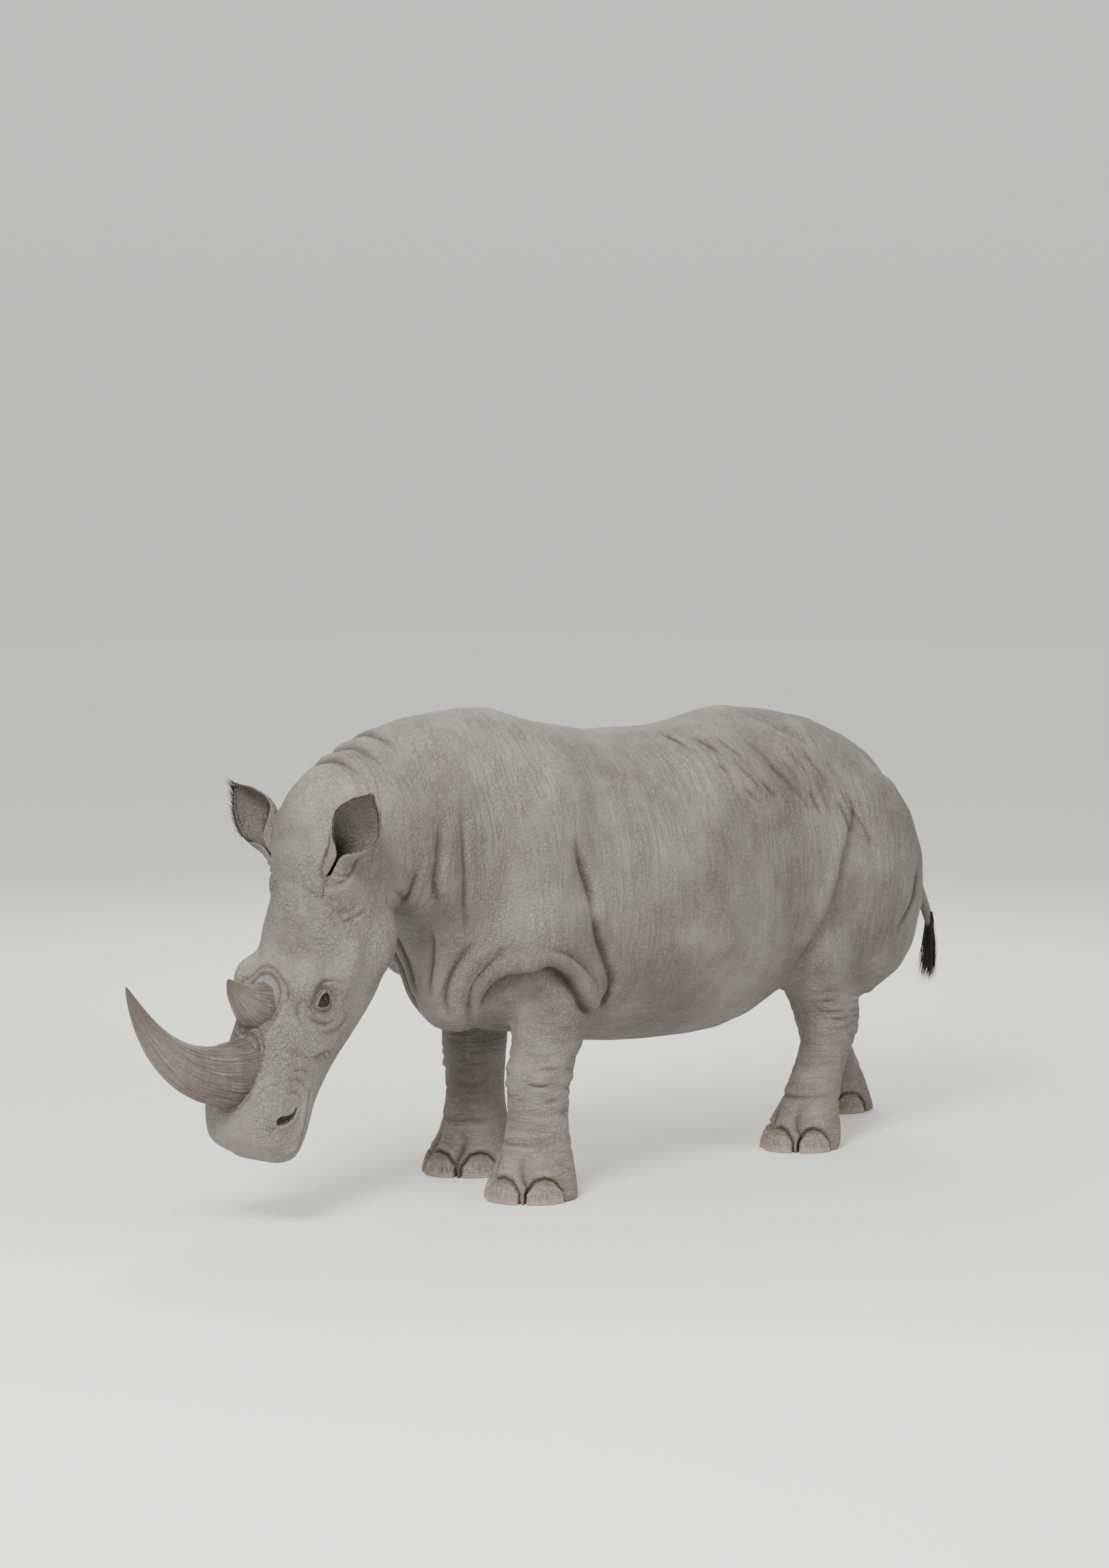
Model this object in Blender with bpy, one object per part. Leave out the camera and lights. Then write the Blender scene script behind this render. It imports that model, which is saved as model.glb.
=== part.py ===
"""A white rhinoceros at life size, in mid-stride with its head lowered to graze.

The flesh is modelled whole. Trunk, neck, head and legs are lofted through oval rings, muscles
and bony bumps are laid on as ellipsoids, and all of it is fused, smoothed and thinned to few
faces. Thin cuts then part it where a person would name the parts. Horns, eyes, ears, toenails
and tail are made apart, and fitted to the flesh with a thin gap.

x runs across the animal, towards its left. It faces -y, and z is up from the floor. Metres.
"""

import math
from collections import namedtuple

import bmesh
import bpy
import numpy as np
from mathutils import Matrix, Vector

# ------------------------------------------------------------------ driving dimensions

HUMP_HEIGHT = 1.72  # floor to the top of the shoulder hump
BARREL_HALF_WIDTH = 0.48
BELLY_CLEARANCE = 0.45
RUMP_END_Y = 1.36

HEAD_ROOT = Vector((0, -1.52, 1.235))  # inside the neck, where the skull's axis starts
HEAD_PITCH = math.radians(64)  # how far the skull's axis points below the horizon
HEAD_LENGTH = 1.05  # along that axis, from the root to the front of the lips

EYE_RADIUS = 0.033
FRONT_HORN_LENGTH = 0.60
REAR_HORN_LENGTH = 0.20
EAR_LENGTH = 0.34
EAR_WALL = 0.011
FOOT_HEIGHT = 0.20  # the ankle's cut, above the floor
TOENAIL_HEIGHT = 0.085
TOENAIL_DEPTH = 0.034  # from its outer face into the foot

CUT_GAP = 0.0004  # the space left between two pieces that touch
FUSE_VOXEL = 0.014  # the grid on which the flesh is fused
FLESH_FACES = 3250  # how far the fused flesh is thinned out

SIDES = {"left": 1, "right": -1}  # the sign of x on each side of the animal

# ------------------------------------------------------------------ materials

SKINS = {
    "hide": ((0.34, 0.31, 0.28), 0.78),
    "horn": ((0.30, 0.25, 0.20), 0.55),
    "toenail": ((0.42, 0.37, 0.31), 0.50),
    "eye": ((0.045, 0.028, 0.018), 0.08),
    "tail_hair": ((0.05, 0.045, 0.04), 0.65),
}


def finish(name):
    """The plain material of that name, made the first time it is asked for."""
    if name in bpy.data.materials:
        return bpy.data.materials[name]
    colour, roughness = SKINS[name]
    material = bpy.data.materials.new(name)
    material.use_nodes = True
    shader = material.node_tree.nodes["Principled BSDF"]
    shader.inputs["Base Color"].default_value = (*colour, 1)
    shader.inputs["Roughness"].default_value = roughness
    return material


# ------------------------------------------------------------------ small tools

Ring = namedtuple("Ring", "x y z lean half_width rise drop square")


def spline(values, steps):
    """The rows of values, joined by a smooth curve with that many steps from row to row."""
    values = np.asarray(values, float)
    slopes = np.gradient(values, axis=0)
    rows = []
    for first in range(len(values) - 1):
        for t in np.linspace(0, 1, steps, endpoint=False):
            rows.append(
                values[first] * (1 + 2 * t) * (1 - t) ** 2
                + slopes[first] * t * (1 - t) ** 2
                + values[first + 1] * t * t * (3 - 2 * t)
                + slopes[first + 1] * t * t * (t - 1)
            )
    return np.array([*rows, values[-1]])


def new_object(name, mesh, material="hide"):
    obj = bpy.data.objects.new(name, mesh)
    bpy.context.scene.collection.objects.link(obj)
    obj.data.materials.clear()
    obj.data.materials.append(finish(material))
    return obj


def mesh_of(name, points, faces):
    mesh = bpy.data.meshes.new(name)
    mesh.from_pydata([tuple(p) for p in points], [], faces)
    body = bmesh.new()
    body.from_mesh(mesh)
    bmesh.ops.triangulate(body, faces=body.faces)
    bmesh.ops.recalc_face_normals(body, faces=body.faces)
    body.to_mesh(mesh)
    body.free()
    return mesh


def ring_points(ring, sides):
    """Points round a ring: an oval that may rise and drop by different amounts, and be squared.

    Its plane holds the x axis, and leans forward from upright by ring.lean.
    """
    ring = Ring(*ring)
    up = Vector((0, -math.sin(ring.lean), math.cos(ring.lean)))
    points = []
    for k in range(sides):
        c, s = math.cos(math.tau * k / sides), math.sin(math.tau * k / sides)
        across = ring.half_width * math.copysign(abs(c) ** (2 / ring.square), c)
        reach = ring.rise if s > 0 else ring.drop
        along_up = reach * math.copysign(abs(s) ** (2 / ring.square), s)
        points.append(Vector((ring.x + across, ring.y, ring.z)) + up * along_up)
    return points


def loft(name, rings, sides=24, steps=4, material="hide"):
    """A closed body drawn smoothly through the rings, with a pole in the middle of each end."""
    rows = spline(rings, steps)
    points = [p for row in rows for p in ring_points(row, sides)]
    faces = []
    for row in range(len(rows) - 1):
        for k in range(sides):
            a, b = row * sides + k, row * sides + (k + 1) % sides
            faces.append((a, b, b + sides, a + sides))
    for row in (0, len(rows) - 1):
        points.append(Vector(rows[row][:3]))
        for k in range(sides):
            faces.append((row * sides + k, row * sides + (k + 1) % sides, len(points) - 1))
    return new_object(name, mesh_of(name, points, faces), material)


def lump(name, centre, radii, lean=0.0, turn=0.0, detail=16, material="hide"):
    """An ellipsoid with radii (across, along, up), leaned forward and turned about the upright."""
    body = bmesh.new()
    bmesh.ops.create_uvsphere(body, u_segments=detail, v_segments=detail // 2, radius=1)
    place = (
        Matrix.Translation(centre)
        @ Matrix.Rotation(turn, 4, "Z")
        @ Matrix.Rotation(lean, 4, "X")
        @ Matrix.Diagonal((*radii, 1))
    )
    bmesh.ops.transform(body, matrix=place, verts=body.verts)
    mesh = bpy.data.meshes.new(name)
    body.to_mesh(mesh)
    body.free()
    return new_object(name, mesh, material)


def settle(obj):
    """Replaces the object's mesh by what its modifiers make of it."""
    bpy.context.view_layer.update()
    graph = bpy.context.evaluated_depsgraph_get()
    mesh = bpy.data.meshes.new_from_object(obj.evaluated_get(graph))
    obj.modifiers.clear()
    obj.data = mesh
    return obj


def merged(name, pieces):
    """One object that holds the meshes of all the pieces, which are removed."""
    body = bmesh.new()
    for piece in pieces:
        body.from_mesh(piece.data)
        bpy.data.objects.remove(piece)
    mesh = bpy.data.meshes.new(name)
    body.to_mesh(mesh)
    body.free()
    return new_object(name, mesh)


def boolean(obj, other, operation):
    modifier = obj.modifiers.new(operation.lower(), "BOOLEAN")
    modifier.operation = operation
    modifier.solver = "EXACT"
    modifier.object = other
    return settle(obj)


def copy_of(obj, name):
    twin = obj.copy()
    twin.data = obj.data.copy()
    twin.name = name
    bpy.context.scene.collection.objects.link(twin)
    return twin


def grown(obj, by):
    """A copy whose surface stands off by that much."""
    twin = copy_of(obj, obj.name + "_grown")
    body = bmesh.new()
    body.from_mesh(twin.data)
    body.normal_update()
    moves = [(v, v.normal * by) for v in body.verts]
    for v, move in moves:
        v.co += move
    body.to_mesh(twin.data)
    body.free()
    return twin


def fit_into(piece, host, gap=CUT_GAP):
    """Hollows the host where the piece sits, a thin gap wider than the piece."""
    cutter = grown(piece, gap)
    boolean(host, cutter, "DIFFERENCE")
    bpy.data.objects.remove(cutter)


def part_off(whole, name, region):
    """Cuts what lies inside region(grow) off the whole, and returns it as an object of its own."""
    piece = copy_of(whole, name)
    for obj, grow, operation in (
        (piece, -CUT_GAP / 2, "INTERSECT"),
        (whole, CUT_GAP / 2, "DIFFERENCE"),
    ):
        cutter = region(grow)
        boolean(obj, cutter, operation)
        bpy.data.objects.remove(cutter)
    return piece


# ------------------------------------------------------------------ trunk and neck

UPRIGHT = 0.0  # a ring's lean
ROUND, HALF_SQUARE, SQUARE = 2.0, 2.3, 3.0  # a ring's squareness


def trunk():
    """The barrel, from the breast to the rump. Its rings stand upright, at the widest level."""
    wide = BARREL_HALF_WIDTH
    level = 1.02
    belly = level - BELLY_CLEARANCE
    return loft("barrel", [
        Ring(0, -1.15, 1.10, UPRIGHT, 0.12, 0.22, 0.15, ROUND),
        Ring(0, -1.05, 1.06, UPRIGHT, 0.26, 0.46, 0.34, ROUND),
        Ring(0, -0.86, 1.08, UPRIGHT, wide * 0.80, HUMP_HEIGHT - 1.09, 0.50, ROUND),
        Ring(0, -0.58, 1.06, UPRIGHT, wide * 0.87, HUMP_HEIGHT - 1.12, 0.53, ROUND),
        Ring(0, -0.26, level, UPRIGHT, wide * 0.95, 0.595, belly - 0.02, ROUND),
        Ring(0, 0.08, level, UPRIGHT, wide, 0.595, belly, ROUND),
        Ring(0, 0.38, level + 0.02, UPRIGHT, wide * 0.97, 0.605, belly + 0.005, ROUND),
        Ring(0, 0.68, level + 0.06, UPRIGHT, wide * 0.90, 0.575, 0.50, ROUND),
        Ring(0, 0.96, level + 0.06, UPRIGHT, wide * 0.82, 0.52, 0.43, ROUND),
        Ring(0, 1.20, level + 0.05, UPRIGHT, wide * 0.64, 0.41, 0.39, ROUND),
        Ring(0, RUMP_END_Y, level, UPRIGHT, wide * 0.26, 0.18, 0.20, ROUND),
    ], sides=28)


def neck():
    """The deep neck. Its rings lean forward more and more, down to the back of the skull."""
    lean = math.radians
    return loft("nape", [
        Ring(0, -0.86, 1.14, lean(2), 0.34, 0.57, 0.46, ROUND),
        Ring(0, -1.06, 1.18, lean(12), 0.31, 0.52, 0.52, ROUND),
        Ring(0, -1.24, 1.20, lean(26), 0.275, 0.45, 0.47, ROUND),
        Ring(0, -1.39, 1.21, lean(42), 0.24, 0.37, 0.37, ROUND),
        Ring(0, -1.50, 1.18, lean(56), 0.205, 0.28, 0.29, ROUND),
    ], sides=28)


def body_muscles():
    """The muscles and bones that show through the hide of the trunk and neck."""
    lean = math.radians
    pieces = [
        lump("hump", (0, -0.90, 1.45), (0.20, 0.34, 0.27)),
        lump("nape_bulge", (0, -1.27, 1.41), (0.16, 0.24, 0.185), lean(38)),
        lump("croup", (0, 0.47, 1.45), (0.21, 0.38, 0.225)),
        lump("breast", (0, -0.93, 0.82), (0.20, 0.18, 0.26)),
    ]
    for side in SIDES.values():
        pieces += [
            lump("blade", (side * 0.27, -0.74, 1.17), (0.145, 0.25, 0.37), lean(-14)),
            lump("upper_arm", (side * 0.31, -0.74, 0.94), (0.135, 0.25, 0.24), lean(8)),
            lump("elbow_fold", (side * 0.345, -0.52, 0.79), (0.085, 0.13, 0.15), lean(-30)),
            lump("rib_bow", (side * 0.21, 0.02, 1.00), (0.28, 0.50, 0.42)),
            lump("hip_bone", (side * 0.27, 0.60, 1.36), (0.13, 0.16, 0.12), lean(-20)),
            lump("haunch", (side * 0.24, 0.96, 1.04), (0.21, 0.35, 0.42), lean(10)),
            lump("buttock", (side * 0.22, 1.14, 0.92), (0.16, 0.20, 0.28), lean(-6)),
        ]
    pieces += [
        lump("ham_left", (0.25, 1.08, 0.74), (0.125, 0.28, 0.15), lean(38)),
        lump("ham_right", (-0.24, 1.29, 0.76), (0.120, 0.155, 0.25), lean(10)),
    ]
    return pieces


# ------------------------------------------------------------------ head

def on_head(along, up, across=0.0):
    """The point at that share of the head's length, so far above its axis and to its left."""
    forward = Vector((0, -math.cos(HEAD_PITCH), -math.sin(HEAD_PITCH)))
    crown = Vector((0, -math.sin(HEAD_PITCH), math.cos(HEAD_PITCH)))
    return HEAD_ROOT + forward * along * HEAD_LENGTH + crown * up + Vector((across, 0, 0))


def head_ring(along, up, half_width, rise, drop, square):
    return Ring(*on_head(along, up), HEAD_PITCH, half_width, rise, drop, square)


def skull():
    """The long, straight head: deep at the jaw's angle, and square at the lips."""
    return loft("skull", [
        head_ring(-0.04, -0.05, 0.15, 0.18, 0.15, ROUND),
        head_ring(0.05, -0.05, 0.190, 0.225, 0.22, ROUND),
        head_ring(0.19, -0.07, 0.190, 0.205, 0.270, ROUND),
        head_ring(0.34, -0.07, 0.190, 0.175, 0.275, HALF_SQUARE),
        head_ring(0.49, -0.07, 0.175, 0.165, 0.240, HALF_SQUARE),
        head_ring(0.64, -0.065, 0.155, 0.160, 0.200, HALF_SQUARE),
        head_ring(0.78, -0.07, 0.158, 0.160, 0.168, HALF_SQUARE),
        head_ring(0.89, -0.08, 0.167, 0.145, 0.142, SQUARE),
        head_ring(0.97, -0.085, 0.158, 0.120, 0.125, SQUARE),
        head_ring(1.00, -0.09, 0.122, 0.075, 0.085, SQUARE),
    ], sides=28)


def head_bumps():
    """Bosses under the horns, crest, brows, cheekbones, jaw muscles and the pads of the muzzle."""
    pieces = [
        lump("nose_boss", on_head(0.78, 0.045), (0.115, 0.135, 0.055), HEAD_PITCH),
        lump("forehead_boss", on_head(0.555, 0.048), (0.105, 0.115, 0.052), HEAD_PITCH),
        lump("crest", on_head(0.04, 0.12), (0.14, 0.08, 0.08), HEAD_PITCH),
        lump("chin", on_head(0.88, -0.19), (0.10, 0.08, 0.04), HEAD_PITCH),
    ]
    for side in SIDES.values():
        pieces += [
            lump("brow", on_head(0.44, 0.045, side * 0.140), (0.055, 0.085, 0.055), HEAD_PITCH),
            lump("cheekbone", on_head(0.34, -0.075, side * 0.172), (0.04, 0.16, 0.048), HEAD_PITCH),
            lump("jaw_muscle", on_head(0.23, -0.18, side * 0.122), (0.080, 0.15, 0.125), HEAD_PITCH),
            lump("nostril_pad", on_head(0.875, -0.02, side * 0.115), (0.060, 0.080, 0.06), HEAD_PITCH),
            lump("lip_pad", on_head(0.90, -0.125, side * 0.09), (0.065, 0.09, 0.045), HEAD_PITCH),
        ]
    return pieces


# ------------------------------------------------------------------ legs

FLAT = math.radians(90)  # a leg's rings lie flat: their rise is forward, their drop backward

# The joints down each leg as (x, y, z), on the animal's left. The last is the middle of the sole.
LEG_JOINTS = {
    "front_left": ((0.24, -0.74, 1.12), (0.28, -0.66, 0.78), (0.27, -0.78, 0.43), (0.27, -0.79, 0.17),
                   (0.275, -0.81, 0)),
    "front_right": ((0.24, -0.74, 1.12), (0.28, -0.56, 0.78), (0.27, -0.56, 0.43), (0.27, -0.56, 0.17),
                    (0.275, -0.58, 0)),
    "hind_left": ((0.22, 0.92, 1.16), (0.27, 0.66, 0.78), (0.26, 0.82, 0.46), (0.26, 0.70, 0.17),
                  (0.26, 0.66, 0)),
    "hind_right": ((0.22, 0.92, 1.16), (0.26, 0.88, 0.76), (0.25, 1.28, 0.52), (0.25, 1.45, 0.17),
                   (0.25, 1.48, 0)),
}

# How thick a leg is. joint counts the joints down from the top, and 1.35 is between two of them.
Girth = namedtuple("Girth", "joint half_width front back")
FRONT_GIRTHS = (
    Girth(0.00, 0.120, 0.200, 0.200),  # inside the shoulder
    Girth(1.00, 0.145, 0.200, 0.170),  # elbow
    Girth(1.35, 0.136, 0.170, 0.150),
    Girth(1.75, 0.118, 0.132, 0.128),
    Girth(2.00, 0.117, 0.130, 0.118),  # wrist
    Girth(2.50, 0.106, 0.112, 0.112),
    Girth(3.00, 0.122, 0.132, 0.128),  # fetlock
    Girth(3.60, 0.148, 0.162, 0.145),
    Girth(4.00, 0.160, 0.178, 0.150),  # sole
)
HIND_GIRTHS = (
    Girth(0.00, 0.150, 0.260, 0.260),  # inside the haunch
    Girth(1.00, 0.150, 0.180, 0.260),  # stifle
    Girth(1.50, 0.122, 0.145, 0.175),
    Girth(2.00, 0.102, 0.122, 0.124),  # hock
    Girth(2.50, 0.095, 0.104, 0.106),
    Girth(3.00, 0.109, 0.119, 0.114),  # fetlock
    Girth(3.60, 0.136, 0.148, 0.134),
    Girth(4.00, 0.147, 0.163, 0.138),  # sole
)
BELOW_FLOOR = 0.05  # legs run on this far, and narrow a little, before the floor cuts them off
NARROWER = 0.006


def girths(which):
    return FRONT_GIRTHS if "front" in which else HIND_GIRTHS


def side_of(name):
    return SIDES["left" if "left" in name else "right"]


def leg(which):
    """A leg from inside the trunk, through its joints, to a broad three-toed foot."""
    side, joints = side_of(which), LEG_JOINTS[which]
    rings = []
    for girth in girths(which):
        above = min(int(girth.joint), len(joints) - 2)
        share = girth.joint - above
        x, y, z = (a + (b - a) * share for a, b in zip(joints[above], joints[above + 1]))
        rings.append(Ring(side * x, y, z, FLAT, *girth[1:], ROUND))
    sole = rings[-1]
    rings.append(Ring(
        sole.x, sole.y, -BELOW_FLOOR, FLAT,
        sole.half_width - NARROWER, sole.rise - NARROWER, sole.drop - NARROWER, ROUND,
    ))
    return loft(which, rings, steps=3)


# ------------------------------------------------------------------ fusing the flesh

def weigh(obj, name, weights):
    """A vertex group of that name, with a weight for each of the object's points."""
    group = obj.vertex_groups.new(name=name)
    for index, weight in enumerate(weights):
        if weight > 0:
            group.add([index], float(weight), "REPLACE")
    return group


def ramp(values, start, end):
    """0 up to start, 1 from end on, and straight between."""
    return np.clip((values - start) / (end - start), 0, 1)


def from_face(points):
    return np.linalg.norm(points - np.array(on_head(0.58, -0.05)), axis=1)


def soften(obj):
    """Rounds the creases between the fused forms: more on the body, less on the head and feet."""
    points = np.array([v.co for v in obj.data.vertices])
    body = weigh(obj, "body", ramp(from_face(points), 0.35, 0.70) * ramp(points[:, 2], 0.1, 0.4))
    for name, rounds, group in (("all", 6, ""), ("body", 26, body.name)):
        modifier = obj.modifiers.new("soften_" + name, "SMOOTH")
        modifier.factor, modifier.iterations, modifier.vertex_group = 0.5, rounds, group
    settle(obj)
    obj.vertex_groups.clear()


def thin_out(obj, faces):
    """Fewer faces, which stay closest together on the head and feet."""
    points = np.array([v.co for v in obj.data.vertices])
    plain = ramp(from_face(points), 0.45, 0.95) * np.maximum(ramp(points[:, 2], 0.1, 0.6), 0.4)
    group = weigh(obj, "plain", 0.6 + 0.4 * plain)
    modifier = obj.modifiers.new("thin", "DECIMATE")
    modifier.vertex_group = group.name
    modifier.ratio = faces / (2 * len(obj.data.polygons))
    settle(obj)
    obj.vertex_groups.clear()


def flesh():
    """Trunk, neck, head and legs in one closed skin, with flat soles on the floor."""
    pieces = [trunk(), neck(), skull(), *body_muscles(), *head_bumps()]
    whole = merged("fused", pieces + [leg(which) for which in LEG_JOINTS])
    fuse = whole.modifiers.new("fuse", "REMESH")
    fuse.mode = "VOXEL"
    fuse.voxel_size = FUSE_VOXEL
    settle(whole)
    soften(whole)
    thin_out(whole, FLESH_FACES)
    body = part_off(whole, "trunk", above_floor)
    bpy.data.objects.remove(whole)
    return body


# ------------------------------------------------------------------ where the flesh is parted

def block(low, high, name="region"):
    """A box between two corners, as a cutter."""
    low, high = Vector(low), Vector(high)
    body = bmesh.new()
    bmesh.ops.create_cube(body, size=1)
    place = Matrix.Translation((low + high) / 2) @ Matrix.Diagonal((*(high - low), 1))
    bmesh.ops.transform(body, matrix=place, verts=body.verts)
    mesh = bpy.data.meshes.new(name)
    body.to_mesh(mesh)
    body.free()
    cutter = new_object(name, mesh)
    cutter.hide_render = True
    return cutter


def above_floor(_grow):
    return block((-3, -4, 0), (3, 4, 3))


def offset_outline(outline, by):
    """The closed outline, which runs counter-clockwise, with every side moved outwards."""
    moved = []
    for k, point in enumerate(outline):
        before, after = Vector(outline[k - 1]), Vector(outline[(k + 1) % len(outline)])
        normals = []
        for run in (Vector(point) - before, after - Vector(point)):
            run.normalize()
            normals.append(Vector((run.y, -run.x)))
        corner = (normals[0] + normals[1]) / (1 + normals[0].dot(normals[1]))
        moved.append(Vector(point) + corner * by)
    return moved


def side_region(outline, near=-1.0, far=1.0):
    """A cutter for part_off: an outline seen from the animal's left, drawn through from near to far.

    The outline's points are (y, z), counter-clockwise as y runs to the right and z up.
    """
    def region(grow):
        rim = offset_outline(outline, grow)
        count = len(rim)
        points = [(x, *p) for x in (near - grow, far + grow) for p in rim]
        faces = [tuple(range(count)), tuple(range(2 * count - 1, count - 1, -1))]
        for k in range(count):
            after = (k + 1) % count
            faces.append((k, after, count + after, count + k))
        cutter = new_object("region", mesh_of("region", points, faces))
        cutter.hide_render = True
        return cutter

    return region


def beside_head(along, up):
    """A point of the head's axes as (y, z), for an outline."""
    return tuple(on_head(along, up))[1:]


THROAT_Y, NECK_FOOT_Y, NECK_TOP_Y = -1.15, -1.13, -1.00
HEAD_REGION = side_region([
    (-3, 2.5), (-3, -1), (THROAT_Y, -1), (THROAT_Y, 0.80), beside_head(0.10, -0.40), beside_head(-0.02, 0.30),
])
NECK_REGION = side_region([(-3, 2.5), (-3, -1), (NECK_FOOT_Y, -1), (NECK_FOOT_Y, 0.50), (NECK_TOP_Y, 2.5)])


def feet_region(grow):
    return block((-3, -4, -1), (3, 4, FOOT_HEIGHT + grow))


# Where each leg is parted from the trunk: its front and back edge, and its top
LegRegion = namedtuple("LegRegion", "front back crown")
LEG_REGIONS = {
    "front_left": LegRegion(-1.04, -0.44, 1.02),
    "front_right": LegRegion(-0.88, -0.32, 1.02),
    "hind_left": LegRegion(0.40, 1.30, 1.16),
    "hind_right": LegRegion(0.56, 1.68, 1.16),
}
LEG_SPRING = 0.78  # how high the edges run before they arch over
LEG_INNER_X = 0.05


def leg_region(which):
    """A doorway shape through one side of the body: straight sides, and a half oval on top."""
    place = LEG_REGIONS[which]
    middle, half = (place.front + place.back) / 2, (place.back - place.front) / 2
    outline = [(place.front, -0.5), (place.back, -0.5)]
    steps = 16
    for k in range(steps + 1):
        a = math.pi * k / steps
        outline.append((middle + half * math.cos(a), LEG_SPRING + (place.crown - LEG_SPRING) * math.sin(a)))
    near, far = sorted(side_of(which) * x for x in (LEG_INNER_X, 1.0))
    return side_region(outline, near, far)


MOUTH_CORNER = 0.70  # share of the head's length
MOUTH_LINE = -0.135  # from the head's axis down to the corner of the mouth
MOUTH_SLOPE = math.radians(4)


def jaw_region(grow):
    """What lies below the mouth line, from the corner of the mouth to the front of the lips."""
    cutter = block((-1, -1, -1), (1, 0, 0))
    cutter.data.transform(
        Matrix.Translation(on_head(MOUTH_CORNER, MOUTH_LINE))
        @ Matrix.Rotation(HEAD_PITCH + MOUTH_SLOPE, 4, "X")
        @ Matrix.Translation((0, grow, grow))
    )
    return cutter


# ------------------------------------------------------------------ horns, eyes, ears, nails, tail

Horn = namedtuple("Horn", "along length half_width half_depth bow lean_back")
HORNS = {
    "front_horn": Horn(0.775, FRONT_HORN_LENGTH, 0.095, 0.115, 0.080, 0.08),
    "rear_horn": Horn(0.555, REAR_HORN_LENGTH, 0.085, 0.095, 0.012, 0.03),
}
HORN_ROOT = 0.05  # above the head's axis, inside the boss
HORN_TAPER = 0.72  # under 1, the horn stays thick at first and then runs to its tip
HORN_TIP_RADIUS = 0.004


def horn(name):
    """A horn that bows forward and then back towards the forehead, on a round foot."""
    shape = HORNS[name]
    rings = []
    for t in np.linspace(0, 1, 6):
        taper = (1 - t) ** HORN_TAPER
        bow = shape.bow * 4 * t * (1 - t)
        centre = on_head(shape.along + bow - shape.lean_back * t * t, HORN_ROOT + shape.length * t)
        slope = math.atan2(shape.bow * 4 * (1 - 2 * t) - 2 * shape.lean_back * t, shape.length)
        width, depth = (max(size * taper, HORN_TIP_RADIUS) for size in (shape.half_width, shape.half_depth))
        rings.append(Ring(*centre, HEAD_PITCH - FLAT + slope, width, depth, depth, ROUND))
    return loft(name, rings, sides=14, steps=2, material="horn")


EYE_ALONG, EYE_UP, EYE_ACROSS = 0.480, -0.032, 0.153


def eye(which):
    centre = on_head(EYE_ALONG, EYE_UP, SIDES[which] * EYE_ACROSS)
    return lump(which + "_eye", centre, (EYE_RADIUS,) * 3, HEAD_PITCH, detail=12, material="eye")


def face_hollows(which):
    """Cutters for the almond between the lids, a little larger than the eye, and for the nostril."""
    side = SIDES[which]
    lids = on_head(EYE_ALONG, EYE_UP, side * (EYE_ACROSS + 0.04))
    nostril = on_head(0.895, -0.035, side * 0.178)
    return [
        lump("lids", lids, (0.032, 0.038, 0.027), HEAD_PITCH),
        lump("nostril", nostril, (0.034, 0.020, 0.032), HEAD_PITCH, side * math.radians(-14), detail=12),
    ]


EarRow = namedtuple("EarRow", "along half_width half_depth")
EAR_ROWS = (
    EarRow(0.00, 0.044, 0.044),
    EarRow(0.22, 0.046, 0.048),
    EarRow(0.42, 0.072, 0.058),
    EarRow(0.63, 0.082, 0.050),
    EarRow(0.84, 0.050, 0.030),
    EarRow(1.00, 0.009, 0.010),
)
EAR_SLIT, EAR_OPEN = 10, 85  # degrees that each edge stands off the front, at the foot and above
EAR_LEAN, EAR_SPREAD = math.radians(8), math.radians(40)  # forward, and out to the side
EAR_TURN = {"left": math.radians(25), "right": math.radians(12)}  # both are cocked to the left


def ear(which):
    """A cupped leaf on a short tube, open to the front, with a wall thick enough to stand."""
    side = SIDES[which]
    rows = spline(EAR_ROWS, 2)
    columns = 7
    points, faces = [], []
    for along, half_width, half_depth in rows:
        slit = math.radians(EAR_SLIT + (EAR_OPEN - EAR_SLIT) * ramp(along, 0.25, 0.55))
        for a in np.linspace(slit, math.tau - slit, columns):
            points.append(Vector((half_width * math.sin(a), -half_depth * math.cos(a), along * EAR_LENGTH)))
    for row in range(len(rows) - 1):
        for k in range(columns - 1):
            a = row * columns + k
            faces.append((a, a + 1, a + 1 + columns, a + columns))
    obj = new_object(which + "_ear", mesh_of("ear", points, faces))
    wall = obj.modifiers.new("wall", "SOLIDIFY")
    wall.thickness, wall.offset = EAR_WALL, 0
    settle(obj)
    obj.data.transform(
        Matrix.Translation(on_head(0.065, 0.07, side * 0.125))
        @ Matrix.Rotation(EAR_LEAN, 4, "X")
        @ Matrix.Rotation(side * EAR_SPREAD, 4, "Y")
        @ Matrix.Rotation(EAR_TURN[which], 4, "Z")
    )
    return obj


Nail = namedtuple("Nail", "heading half_angle")
NAILS = {"middle": Nail(0, 27), "outer": Nail(62, 24), "inner": Nail(-62, 24)}  # degrees, from ahead
NAIL_PROUD, NAIL_SLOPE, NAIL_ARCH = 0.007, 0.26, 0.82


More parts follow.
